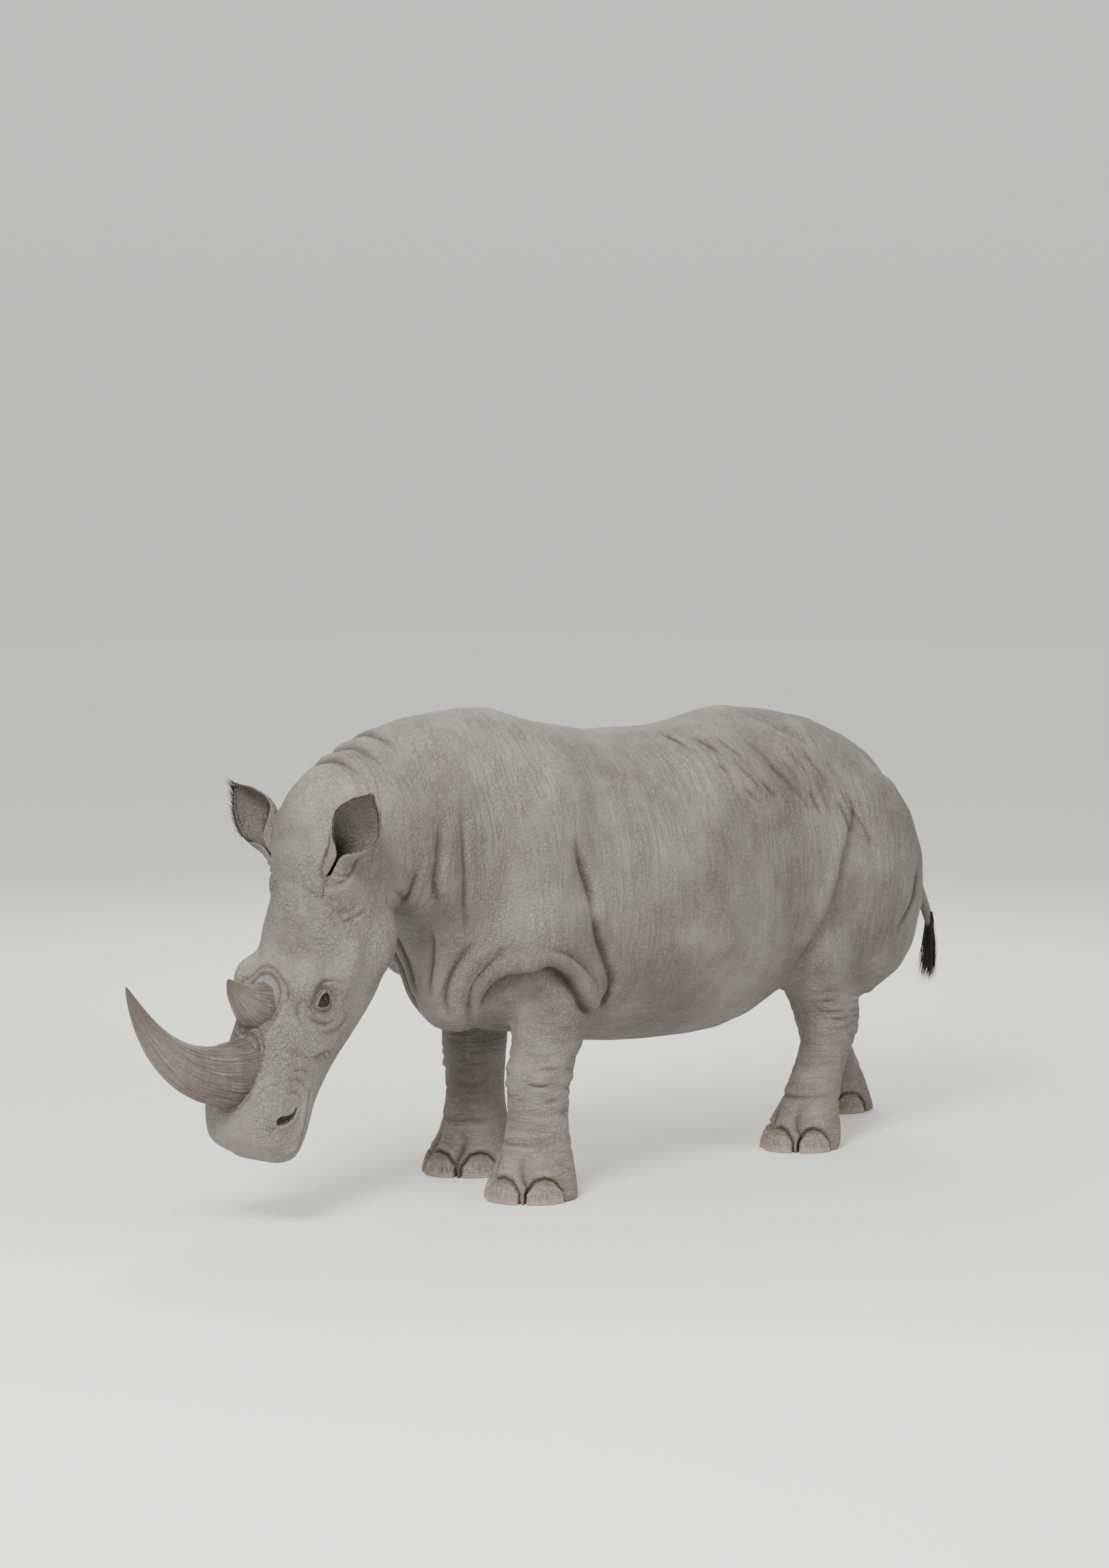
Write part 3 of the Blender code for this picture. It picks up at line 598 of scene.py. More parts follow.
inside_lips = MOUTH_CORNER + MOUTH_FORWARD * 0.16
lip_line = fan(clay, inside_lips, MOUTH_FORWARD, LEFT, -128, 128, 30, MOUTH_UP, 0.016)
press(clay, lip_line, 0.011, 0.010, roll=0.005, fade=0.12, pinch=0.40)
clay.settle()
print("lip line has", len(lip_line), "points")

# %% Crease the corners of the mouth
CORNER_CREASES = ((0.66, -0.115), (0.645, -0.135), (0.63, -0.155))  # along the head, and up
CREASE_HALF = 0.035  # half a crease's length
for side in SIDES.values():
    x = side * 0.16
    for along, up in CORNER_CREASES:
        crease = [
            on_head(along, up + CREASE_HALF, x), on_head(along - 0.012, up, x),
            on_head(along, up - CREASE_HALF, x),
        ]
        press(clay, crease, 0.0045, 0.008, roll=0.002, dark=0.6)
print("creases at each corner of the mouth:", len(CORNER_CREASES))

# %% [markdown]
# ## The nostrils and the muzzle
#
# Each nostril is a comma: a round hole in front, with a tail that runs back and down. Wrinkles
# run round behind it, and rolls of hide stand like collars round the feet of the horns.

# %% Open the nostrils
def hole(clay, points, widths, depth):
    """Sinks a pit with steep walls along a line, as wide as the widths say at its two ends."""
    spots, ways, faces = lie_on(clay, smooth_line(points, 0.003))
    low, high = spots.min(axis=0) - 0.05, spots.max(axis=0) + 0.05
    near = np.flatnonzero(((clay.points > low) & (clay.points < high)).all(axis=1))
    p = clay.points[near]
    gap = np.linalg.norm(p[:, None] - spots[None], axis=2)
    radius = np.linspace(*widths, len(spots))
    steps = gap / radius[None]
    closest = steps.argmin(axis=1)
    nearness = steps.min(axis=1)
    pit = 1 - smoothstep(nearness, 0.55, 1.12)
    rim = np.exp(-((nearness - 1.55) / 0.40) ** 2)
    size = (radius / max(widths))[closest]
    push = 0.0045 * rim - depth * pit * size
    clay.points[near] += faces.mean(axis=0) * push[:, None]
    # Painted shade down in the nostril's pit.
    clay.crease[near] = np.maximum(clay.crease[near], pit)


COMMA = ((0.893, -0.030), (0.880, -0.052), (0.858, -0.075), (0.832, -0.082))  # along and up
COMMA_WIDTHS, COMMA_DEPTH = (0.0165, 0.0060), 0.030
for side in SIDES.values():
    hole(clay, [on_head(*spot, side * 0.175) for spot in COMMA], COMMA_WIDTHS, COMMA_DEPTH)
clay.settle()
print("nostrils opened, each", COMMA_DEPTH, "m deep")

# %% Wrinkle the muzzle
MUZZLE_CREASES = (  # along and up at three points, and how deep
    ((0.800, -0.025), (0.785, -0.065), (0.795, -0.105), 0.0055),
    ((0.765, -0.010), (0.745, -0.055), (0.755, -0.105), 0.0050),
    ((0.730, -0.020), (0.708, -0.060), (0.715, -0.100), 0.0040),
    ((0.945, 0.020), (0.925, -0.005), (0.930, -0.020), 0.0040),
    ((0.690, 0.010), (0.665, -0.040), (0.668, -0.090), 0.0035),
)
for side in SIDES.values():
    for *points_of, depth in MUZZLE_CREASES:
        crease = [on_head(along, up, side * 0.17) for along, up in points_of]
        if side > 0:
            crease.reverse()
        press(clay, crease, depth, 0.010, roll=depth * 0.6, dark=0.7)
clay.settle()
print("muzzle creases:", 2 * len(MUZZLE_CREASES))

# %% Roll the hide round the horns
HORN_FEET = ((0.775, 0.108, 0.128), (0.555, 0.096, 0.106))  # along, half width, half depth
for along, half_width, half_depth in HORN_FEET:
    for grow, depth in ((1.04, 0.006), (1.26, 0.0035)):
        collar = []
        for k in range(25):
            a = -math.tau * k / 24
            across = half_width * grow * math.sin(a)
            ahead = half_depth * grow * math.cos(a) / HEAD_LENGTH
            collar.append(on_head(along + ahead, 0.12, across))
        press(clay, collar, depth, 0.012, roll=0.6 * depth, dark=0.7, fade=0)
clay.settle()
print("horns' feet ringed:", len(HORN_FEET))

# %% [markdown]
# ## Where the ears stand
#
# A rhinoceros's ear is a tube at the foot, slit in front, that opens into a pointed cup. It turns
# by itself, so it has its own axes. The rows say how wide and how deep it is at each share of its
# length. The hide sinks inside the tube and rolls up round the outside of it.

# %% The ears' axes and rows
EAR_LENGTH = 0.34
EAR_ROWS = (  # share of the length, half width, half depth
    (-0.20, 0.066, 0.066), (-0.04, 0.056, 0.056), (0.08, 0.046, 0.047), (0.22, 0.046, 0.048),
    (0.42, 0.072, 0.058), (0.63, 0.082, 0.050), (0.84, 0.050, 0.030), (1.00, 0.006, 0.006),
)
EAR_SHARES, EAR_WIDTHS, EAR_DEPTHS = (list(column) for column in zip(*EAR_ROWS))
EAR_TURN = {"left": math.radians(25), "right": math.radians(12)}


def ear_place(which):
    side = SIDES[which]
    return (
        Matrix.Translation(on_head(0.065, 0.07, side * 0.125))
        @ Matrix.Rotation(math.radians(8), 4, "X")
        @ Matrix.Rotation(side * math.radians(40), 4, "Y")
        @ Matrix.Rotation(EAR_TURN[which], 4, "Z")
    )


# %% Seat the ears in the hide
EAR_FOLDS = (  # points in the left side's x, y and z
    ((0.130, -1.268, 1.165), (0.134, -1.286, 1.130), (0.138, -1.296, 1.095)),
    ((0.152, -1.268, 1.060), (0.168, -1.248, 1.055), (0.188, -1.205, 1.065),
     (0.205, -1.145, 1.095)),
    ((0.150, -1.240, 1.020), (0.185, -1.190, 1.035), (0.205, -1.130, 1.065)),
    ((0.190, -1.010, 1.120), (0.175, -0.960, 1.090), (0.150, -0.920, 1.050)),
)
for side in SIDES.values():
    for fold in EAR_FOLDS:
        line = [(side * x, y, z) for x, y, z in fold][::-side]
        press(clay, line, 0.007, 0.012, roll=0.005, dark=0.7, fade=0.4)
clay.settle()
for which in SIDES:
    place = np.array(ear_place(which))
    own = (clay.points - place[:3, 3]) @ place[:3, :3]
    share = own[:, 2] / EAR_LENGTH
    width = np.interp(share, EAR_SHARES, EAR_WIDTHS)
    depth = np.interp(share, EAR_SHARES, EAR_DEPTHS)
    nearness = np.hypot(own[:, 0] / width, own[:, 1] / depth)
    beside = (share > -0.2) & (share < 0.5)
    inside = (1 - smoothstep(nearness, 0.72, 0.98)) * beside
    sunk = own.copy()
    sunk[:, 2] -= inside * np.maximum(own[:, 2] + 0.01, 0)
    clay.points = sunk @ place[:3, :3].T + place[:3, 3]
    collar = np.exp(-((nearness - 1.32) / 0.20) ** 2) * beside
    clay.points += clay.normals * (0.009 * collar)[:, None]
    # Painted shade in the ear's tube and in the seam round its foot.
    seam = np.exp(-((nearness - 1.06) / 0.09) ** 2) * beside
    clay.crease = np.maximum(clay.crease, np.maximum(0.7 * seam, inside))
clay.settle()
print("ears seated")


# %% [markdown]
# ## The great folds of the body
#
# The hide is stiff and thick, so it creases in the same few places on every animal: down the side
# of the neck, across the breast, in an arch over the top of the foreleg that ends in a lobe at
# the elbow, behind the shoulder, and from the hip down the front of the thigh. Each is given by
# points along it, as seen from the side, and a line from that side finds where they lie. Behind,
# a cleft parts the buttocks, and short slanting creases cross the rump at random.

# %% Draw a fold on one side
FORE_SHIFT = {1: 0.0, -1: 0.10}  # how much further back the right foreleg stands
HIND_SHIFT = {1: 0.0, -1: 0.24}


def side_line(clay, side, places, shift=0.0, share=None):
    """Points on the hide from (y, z) pairs. share says how much of the shift each one takes."""
    line = []
    for k, (y, z) in enumerate(places):
        part = 1.0 if share is None else share[k]
        place = clay.from_side(side, y + shift * part, z)
        if place is not None:
            line.append(place)
    if side < 0:
        line.reverse()
    return line


def press_both(clay, places, depth, width, shift=None, share=None, **more):
    for side in SIDES.values():
        by = 0.0 if shift is None else shift[side]
        press(clay, side_line(clay, side, places, by, share), depth, width, **more)


# %% Fold the neck and breast
NECK_FOLDS = (  # from below the ear down to the throat
    (((-0.86, 1.36), (-0.87, 1.24), (-0.87, 1.13), (-0.82, 1.03), (-0.76, 0.93)), 0.020, 0.020),
    (((-0.76, 1.44), (-0.775, 1.30), (-0.765, 1.16), (-0.745, 1.04), (-0.70, 0.93)), 0.012, 0.018),
    (((-0.95, 1.20), (-0.945, 1.12), (-0.92, 1.05), (-0.88, 0.99)), 0.011, 0.014),
)
for places, depth, width in NECK_FOLDS:
    press_both(clay, places, depth, width, roll=0.5 * depth, fade=0.35)
BREAST_FOLDS = (  # the left side's x, y and z from above down, then depth and width
    ((0.245, -0.66, 0.92), (0.19, -0.69, 0.86), (0.135, -0.71, 0.78), (0.10, -0.69, 0.69),
     (0.07, -0.63, 0.62), 0.015, 0.024),
    ((0.33, -0.61, 0.90), (0.27, -0.63, 0.82), (0.20, -0.64, 0.74), (0.15, -0.61, 0.66),
     (0.09, -0.55, 0.60), 0.017, 0.024),
    ((0.13, -0.80, 0.95), (0.085, -0.75, 0.86), (0.05, -0.72, 0.77), (0.03, -0.69, 0.69),
     0.008, 0.018),
)
for side in SIDES.values():
    for *places, depth, width in BREAST_FOLDS:
        line = [(side * x, y, z) for x, y, z in places][::side]
        press(clay, line, depth, width, roll=0.008, fade=0.35, pinch=0.2)
clay.settle()

NAPE_FOLDS = (  # y, z, half the length, depth
    (-1.125, 1.50, 0.16, 0.012), (-1.045, 1.555, 0.19, 0.013), (-0.96, 1.61, 0.17, 0.008),
)
for y, z, half, depth in NAPE_FOLDS:
    line = [(x, y + 0.45 * x * x, z + 0.06 - 1.6 * x * x) for x in np.linspace(-half, half, 7)]
    press(clay, line, depth, 0.020, roll=0.6 * depth, dark=0.8, fade=0.4)
clay.settle()
print("neck, breast and nape folded")

# %% Fold the shoulder
ARCH = (
    (-0.560, 0.660), (-0.570, 0.740), (-0.545, 0.790), (-0.480, 0.815), (-0.410, 0.790),
    (-0.350, 0.730), (-0.300, 0.668), (-0.235, 0.640), (-0.180, 0.668),
)
LOBE = (
    (-0.235, 0.635), (-0.175, 0.665), (-0.160, 0.740), (-0.190, 0.830), (-0.245, 0.930),
    (-0.275, 1.010),
)
LOBE_TOP = ((-0.500, 0.890), (-0.410, 0.868), (-0.330, 0.820), (-0.270, 0.770), (-0.215, 0.720))
BLADE_BACK = ((-0.340, 1.280), (-0.315, 1.200), (-0.280, 1.110), (-0.262, 1.040), (-0.285, 0.975))
press_both(clay, ARCH, 0.034, 0.026, FORE_SHIFT, roll=0.018, fade=0.14, pinch=0.45)
press_both(clay, LOBE[::-1], 0.024, 0.022, FORE_SHIFT, roll=0.010, fade=0.2)
clay.settle()
press_both(clay, LOBE_TOP[::-1], 0.013, 0.017, FORE_SHIFT, roll=0.008, fade=0.3)
press_both(clay, BLADE_BACK, 0.024, 0.026, FORE_SHIFT, (0.3, 0.5, 0.8, 1, 1), roll=0.009, fade=0.4)
clay.settle()
print("shoulders folded")

# %% Fold the hip and the thigh
HIP = (
    (0.900, 1.640), (0.955, 1.580), (1.045, 1.520), (1.110, 1.440), (1.160, 1.350), (1.172, 1.270),
    (1.130, 1.190), (1.075, 1.090), (1.040, 0.990), (0.995, 0.890), (0.930, 0.780), (0.880, 0.690),
)
HIP_SHARE = (0, 0, 0, 0.05, 0.1, 0.2, 0.3, 0.45, 0.6, 0.75, 0.9, 1.0)
THIGH_BACK = ((1.560, 1.060), (1.545, 0.960), (1.500, 0.870), (1.430, 0.800))
press_both(clay, HIP[::-1], 0.030, 0.030, HIND_SHIFT, HIP_SHARE[::-1], roll=0.016, fade=0.22)
press_both(clay, THIGH_BACK, 0.012, 0.020, roll=0.006, fade=0.35)
clay.settle()
print("hips and thighs folded")

# %% Crease the rump
CREASE_ROWS, CREASES_IN_ROW = 3, 6
rng = np.random.default_rng(8)
for side in SIDES.values():
    for row in range(CREASE_ROWS):
        for k in range(CREASES_IN_ROW):
            y = 0.40 + 0.115 * k + 0.10 * row + rng.uniform(-0.03, 0.03)
            z = 1.58 - 0.085 * row - 0.05 * (k / CREASES_IN_ROW) ** 2 * (1 + row)
            z += rng.uniform(-0.02, 0.02)
            long = rng.uniform(0.04, 0.11)
            steep = 0.7 + 0.22 * k + rng.uniform(-0.25, 0.25)
            depth = rng.uniform(0.0060, 0.0100)
            shares = (0, 0.35, 0.7, 1)
            places = [(y + long * t, z - long * steep * (t + 0.5 * t * t)) for t in shares]
            line = side_line(clay, side, places)
            press(clay, line, depth, 0.012, roll=0.6 * depth, dark=85 * depth, fade=0.45)
clay.settle()
print("rump creased", 2 * CREASE_ROWS * CREASES_IN_ROW, "times")

# %% Part the buttocks
REAR_FOLDS = (  # x and z from above down, then depth and width
    ((0.0, 1.250), (0.0, 1.120), (0.0, 1.000), (0.0, 0.880), (0.0, 0.760), (0.0, 0.680),
     0.036, 0.034),
    ((0.055, 1.360), (0.098, 1.290), (0.122, 1.190), (0.124, 1.080), (0.104, 0.970),
     (0.070, 0.880), 0.013, 0.026),
    ((0.190, 1.140), (0.238, 1.040), (0.262, 0.920), (0.250, 0.790), 0.0055, 0.034),
)
for side in SIDES.values():
    swell(clay, clay.from_behind(side * 0.165, 1.02), 0.13, 0.014, (0.8, 1, 1.3))
clay.settle()
for *places, depth, width in REAR_FOLDS:
    in_middle = places[0][0] == 0
    for side in (1,) if in_middle else SIDES.values():
        line = [clay.from_behind(side * x, z) for x, z in places]
        line = [place for place in line if place is not None]
        roll = 0.0 if in_middle else 0.35 * depth
        press(clay, line[::-side], depth, width, roll=roll, fade=0.35)
clay.settle()
print("buttocks parted")

# %% [markdown]
# ## The legs and feet
#
# The legs are pillars. Their hide rucks in short arcs, deepest at the wrist and the hock, and in
# two rings above the foot. Each foot has three toes, so two clefts run up it between the nails,
# and the hide rolls up round each nail. A point on a leg is given by how high it is and how far
# round from straight ahead, and a line from the leg's middle finds the hide there.

# %% Find points round a leg
LEG_MIDDLES = {  # (height, x, y) down each leg
    "front_left": (
        (0.78, 0.28, -0.266), (0.43, 0.27, -0.386), (0.17, 0.27, -0.396), (0.0, 0.275, -0.416),
    ),
    "front_right": (
        (0.78, 0.28, -0.166), (0.43, 0.27, -0.166), (0.17, 0.27, -0.166), (0.0, 0.275, -0.186),
    ),
    "hind_left": (
        (0.78, 0.27, 1.054), (0.46, 0.26, 1.214), (0.17, 0.26, 1.094), (0.0, 0.26, 1.054),
    ),
    "hind_right": (
        (0.76, 0.26, 1.274), (0.52, 0.25, 1.674), (0.17, 0.25, 1.844), (0.0, 0.25, 1.874),
    ),
}
LEG_REACH = 0.26  # what lies further out is no leg


def round_leg(clay, leg, height, start, stop, sag=0.0, steps=9):
    """Points round a leg at a height, between two angles. Straight ahead is 0, outwards is plus."""
    side = side_of(leg)
    rows = LEG_MIDDLES[leg][::-1]
    heights = [row[0] for row in rows]
    x = np.interp(height, heights, [row[1] for row in rows]) * side
    y = np.interp(height, heights, [row[2] for row in rows])
    line = []
    for angle in np.linspace(start, stop, steps):
        a = math.radians(angle)
        share = (angle - start) / (stop - start)
        way = Vector((side * math.sin(a), -math.cos(a), 0))
        place = clay.from_inside((x, y, height - sag * 4 * share * (1 - share)), way)
        if place is not None and (place - Vector((x, y, height))).length < LEG_REACH:
            line.append(place)
    if side < 0:
        line.reverse()
    return line


# %% Ruck the legs
RUCKS_ROUND = ((-35, 25), (52, 20), (125, 20), (190, 25))  # degrees round, give or take
WRIST, HOCK = 0.41, 0.50  # heights
ANKLE_RINGS = ((0.205, -95, 85, 0.008), (0.182, 115, 250, 0.012))  # height, start, stop, sag
for leg in LEGS:
    joint = WRIST if "front" in leg else HOCK
    for height in np.arange(0.225, 0.640, 0.033):
        for middle, sway in RUCKS_ROUND:
            at = height + rng.uniform(-0.012, 0.012)
            depth = 0.0018 + 0.0042 * math.exp(-((at - joint) / 0.085) ** 2)
            centre, half = middle + rng.uniform(-sway, sway), rng.uniform(16, 42)
            sag, wide = rng.uniform(-0.008, 0.022), rng.uniform(0.008, 0.013)
            line = round_leg(clay, leg, at, centre - half, centre + half, sag)
            if len(line) > 3:
                press(clay, line, depth, wide, roll=0.6 * depth, dark=110 * depth, fade=0.5)
    for ring in ANKLE_RINGS:
        line = round_leg(clay, leg, *ring)
        press(clay, line, 0.0055, 0.013, roll=0.003, dark=0.7, fade=0.45)
clay.settle()
print("legs rucked")

# %% Part the toes
CLEFT_HEADINGS, CLEFT_HEIGHTS = (-32, 32), (0.012, 0.05, 0.09, 0.13, 0.175)
TOES = ((0, 0.050), (62, 0.042), (-62, 0.042))  # heading and half width
for leg in LEGS:
    for heading in CLEFT_HEADINGS:
        cleft = []
        for height in CLEFT_HEIGHTS:
            turn = heading * (1 - 1.2 * height) + 5 * math.sin(40 * height)
            cleft += round_leg(clay, leg, height, turn, turn + 1, steps=1)
        press(clay, cleft, 0.019, 0.021, roll=0.0, dark=0.9, fade=(0.0, 0.8), pinch=0.30)
    for heading, wide in TOES:
        for place in round_leg(clay, leg, 0.10, heading, heading + 1, steps=1):
            swell(clay, place, wide, 0.009, (1, 1, 1.1))
clay.settle()
print("toes parted, on each foot:", len(TOES))

# %% Set the nails in the hide
NAILS = {f"{leg}_{toe}_toenail": leg for leg in LEGS for toe in ("middle", "outer", "inner")}
FOOT_TOP = 0.15
print("feet:", split_near(hide, lambda middles: middles[:, 2] < FOOT_TOP))
clay.load()
depsgraph = bpy.context.evaluated_depsgraph_get()
low = np.flatnonzero(clay.points[:, 2] < FOOT_TOP + 0.01)
from_nail = np.full(len(low), 1.0)  # how far each point is from a nail
for node in NAILS:
    nail_tree = BVHTree.FromObject(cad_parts[node], depsgraph)
    for k, point in enumerate(clay.points[low]):
        _place, _normal, _face, distance = nail_tree.find_nearest(Vector(point), 0.05)
        if distance is not None:
            from_nail[k] = min(from_nail[k], distance)
roll, groove = np.exp(-((from_nail - 0.016) / 0.007) ** 2), np.exp(-(from_nail / 0.006) ** 2)
clay.points[low] += clay.normals[low] * (0.0055 * roll - 0.004 * groove)[:, None]
# Painted shade in the groove round each nail.
clay.crease[low] = np.maximum(clay.crease[low], 0.85 * groove)
clay.points[:, 2] = np.maximum(clay.points[:, 2], 0)  # the soles stay on the floor
clay.settle()
print("nails set in the hide:", len(NAILS))

# %% [markdown]
# ## Thin the net where the hide is plain
#
# The hide now has far more points than a plain flank needs. Decimate takes the needless ones away
# and keeps those in the folds. A vertex group spares the openings of the face.

# %% Thin the hide
HIDE_TRIANGLES = 172_000


def count_triangles(*objs):
    return sum(len(face.vertices) - 2 for obj in objs for face in obj.data.polygons)


openings = within([*EYES.values(), *NOSTRILS.values()], 0.055)(read(hide.data))
group = hide.vertex_groups.new(name="plain")
group.add(np.flatnonzero(~openings).tolist(), 1.0, "REPLACE")
before = count_triangles(hide)
apply_modifier(
    hide, "DECIMATE", ratio=HIDE_TRIANGLES / before, vertex_group="plain", vertex_group_factor=0.2
)
hide.vertex_groups.clear()
print("hide:", before, "triangles thinned to", count_triangles(hide))

# %% [markdown]
# ## Sheets rolled into shapes
#
# An ear, a tail and a horn are all sheets rolled round a line. So we start each from a grid. Its
# two directions become "how far round" and "how far along", both from 0 to 1, and a function says
# where each of the grid's points goes. The edges that meet are merged, and open ends are closed.

# %% Roll a sheet
def set_attribute(obj, name, values):
    values = np.array(values, np.float32)
    kind, field = ("FLOAT", "value") if values.ndim == 1 else ("FLOAT_VECTOR", "vector")
    if name not in obj.data.attributes:
        obj.data.attributes.new(name, kind, "POINT")
    obj.data.attributes[name].data.foreach_set(field, values.ravel())


def face_outwards(obj):
    choose(obj)
    bpy.ops.object.mode_set(mode="EDIT")
    bpy.ops.mesh.select_all(action="SELECT")
    bpy.ops.mesh.normals_make_consistent(inside=False)
    bpy.ops.object.mode_set(mode="OBJECT")


def roll_sheet(name, around, rows, shape, attribute, closed=True):
    """A grid bent by a function that gives each point's place, and the value of an attribute."""
    deselect()
    bpy.ops.mesh.primitive_grid_add(x_subdivisions=around, y_subdivisions=rows, size=1)
    sheet = bpy.context.object
    sheet.name = name
    shaped = [shape(float(x) + 0.5, float(y) + 0.5) for x, y, _z in read(sheet.data)]
    write(sheet.data, np.array([place for place, _value in shaped]))
    set_attribute(sheet, attribute, [value for _place, value in shaped])
    if closed:
        bpy.ops.object.mode_set(mode="EDIT")
        bpy.ops.mesh.select_all(action="SELECT")
        bpy.ops.mesh.remove_doubles(threshold=0.0001)
        bpy.ops.mesh.fill_holes(sides=0)
        bpy.ops.mesh.normals_make_consistent(inside=False)
        bpy.ops.object.mode_set(mode="OBJECT")
    bpy.ops.object.shade_smooth()
    return sheet


def through(x, places, values):
    """The value at x of a smooth curve through the values at the places."""
    k = int(np.clip(np.searchsorted(places, x) - 1, 0, len(places) - 2))
    t = (x - places[k]) / (places[k + 1] - places[k])
    before, after = values[max(k - 1, 0)], values[min(k + 2, len(values) - 1)]
    return between(before, values[k], values[k + 1], after, t)


# %% [markdown]
# ## The ears
#
# The ear's sheet follows its rows. Its edges stand nearly together down at the tube and apart at
# the cup. Solidify gives it its thickness. Rolls of hide ring its foot, which goes on a little
# way down into the head.

# %% Model the ears
EAR_THICKNESS = 0.009


def ear_point(around, share):
    """A point of the ear, in its own axes: how far round from edge to edge, and how far up."""
    width = through(share, EAR_SHARES, EAR_WIDTHS)
    depth = through(share, EAR_SHARES, EAR_DEPTHS)
    slit = math.radians(6 + 79 * smoothstep(share, 0.20, 0.60))
    a = slit + (math.tau - 2 * slit) * around
    at_foot = math.exp(-((share - 0.01) / 0.13) ** 2)
    rolls = 0.0040 * math.cos(share * 80 + 0.6 * math.sin(2 * a)) * at_foot
    wave = 0.0030 * math.sin(4 * a + 7 * share) * (1 - share) * smoothstep(share, 0.2, 0.5)
    width, depth = width + rolls + wave, depth + rolls + wave
    return Vector((width * math.sin(a), -depth * math.cos(a), share * EAR_LENGTH))


def model_ear(which):
    def shape(around, along):
        share = -0.20 + 1.20 * along
        # Painted shade on the inner face of the ear, deepest down the tube.
        inside = 0.30 + 0.60 * (1 - smoothstep(share, 0.10, 0.60))
        return ear_place(which) @ ear_point(around, share), inside

    ear = roll_sheet(which + "_ear_hide", 46, 46, shape, "crease", closed=False)
    apply_modifier(ear, "SOLIDIFY", thickness=EAR_THICKNESS, offset=0)
    face_outwards(ear)
    spots = read(ear.data)
    axis = [Vector((0, 0, share * EAR_LENGTH)) for share in np.linspace(EAR_SHARES[0], 1, 60)]
    centre = np.array([ear_place(which) @ spot for spot in axis])
    normals = read(ear.data, "vertex_normals", "vector")
    gap = np.linalg.norm(spots[:, None] - centre[None], axis=2)
    inward = ((centre[gap.argmin(axis=1)] - spots) * normals).sum(axis=1) > 0
    crease = np.empty(len(spots), np.float32)
    ear.data.attributes["crease"].data.foreach_get("value", crease)
    set_attribute(ear, "crease", crease * inward)
    return ear


ears = [model_ear(which) for which in SIDES]
print("ears:", count_triangles(*ears), "triangles")

# %% [markdown]
# ## The tail
#
# The tail hangs from the rump as a tapering rope of hide, ringed with wrinkles. It ends in coarse
# bristles, which come later.

# %% Model the tail
TAIL_RINGS = (  # the middle's x, y and z, and the radius, down the tail
    (0.000, 1.560, 1.370, 0.078), (0.000, 1.654, 1.320, 0.058), (0.000, 1.774, 1.230, 0.046),
    (0.020, 1.874, 1.110, 0.034), (0.055, 1.944, 0.980, 0.026), (0.085, 1.984, 0.860, 0.021),
    (0.105, 2.004, 0.770, 0.017), (0.109, 2.006, 0.735, 0.006),
)
TAIL_LINE = smooth_line([ring[:3] for ring in TAIL_RINGS])
walked = [0.0]
for a, b in zip(TAIL_RINGS, TAIL_RINGS[1:]):
    walked.append(walked[-1] + (Vector(b[:3]) - Vector(a[:3])).length)


def tail_shape(around, along):
    k = along * (len(TAIL_LINE) - 1)
    low = min(int(k), len(TAIL_LINE) - 2)
    centre = TAIL_LINE[low].lerp(TAIL_LINE[low + 1], k - low)
    way = (TAIL_LINE[low + 1] - TAIL_LINE[low]).normalized()
    across = way.cross(LEFT).normalized()
    a = math.tau * around
    uneven = 1.8 * math.sin(23 * along + 1) + 1.1 * math.sin(2 * a + 9 * along) + 0.8 * math.sin(a)
    uneven_depth = 0.55 + 0.45 * math.sin(31 * along + 2 * a)
    groove = max(0.0, math.sin(along * 118 + uneven)) ** 2 * uneven_depth
    radius = np.interp(along, np.array(walked) / walked[-1], [ring[3] for ring in TAIL_RINGS])
    radius *= 1 - 0.075 * groove
    out = across * math.cos(a) + way.cross(across) * math.sin(a)
    # The grooves between the rings are marked for painted shade.
    return centre + out * float(radius), 0.34 * groove


tail = roll_sheet("tail_hide", 22, 120, tail_shape, "crease")
print("tail:", count_triangles(tail), "triangles,", round(walked[-1], 2), "m long")

# %% Join ears and tail to the hide
choose(hide, *ears, tail)
bpy.ops.object.join()
bpy.ops.object.shade_smooth()
print("whole hide:", count_triangles(hide), "triangles")

# %% [markdown]
# ## The horns
#
# A horn is a bundle of hard fibres with no bone in it. At the foot it is a rough collar with
# frayed grooves that run lengthwise, and rubbing wears it smooth and round towards the tip. The
# front horn bows forward, and its tip leans back. The sheet is rolled along that bow, and the
# grooves are pressed in as it is made. An attribute keeps how far round and along each point is,
# so that the finish can follow the fibres too.

# %% Model the horns
HORNS = {  # along the head, length, half width, half depth, bow, lean back
    "front_horn": (0.775, 0.60, 0.095, 0.115, 0.080, 0.08),
    "rear_horn": (0.555, 0.20, 0.085, 0.095, 0.012, 0.03),
}
HORN_ROOT, HORN_SUNK = 0.05, 0.035  # where its length starts, and how much more is in the hide
FIBRES = 120


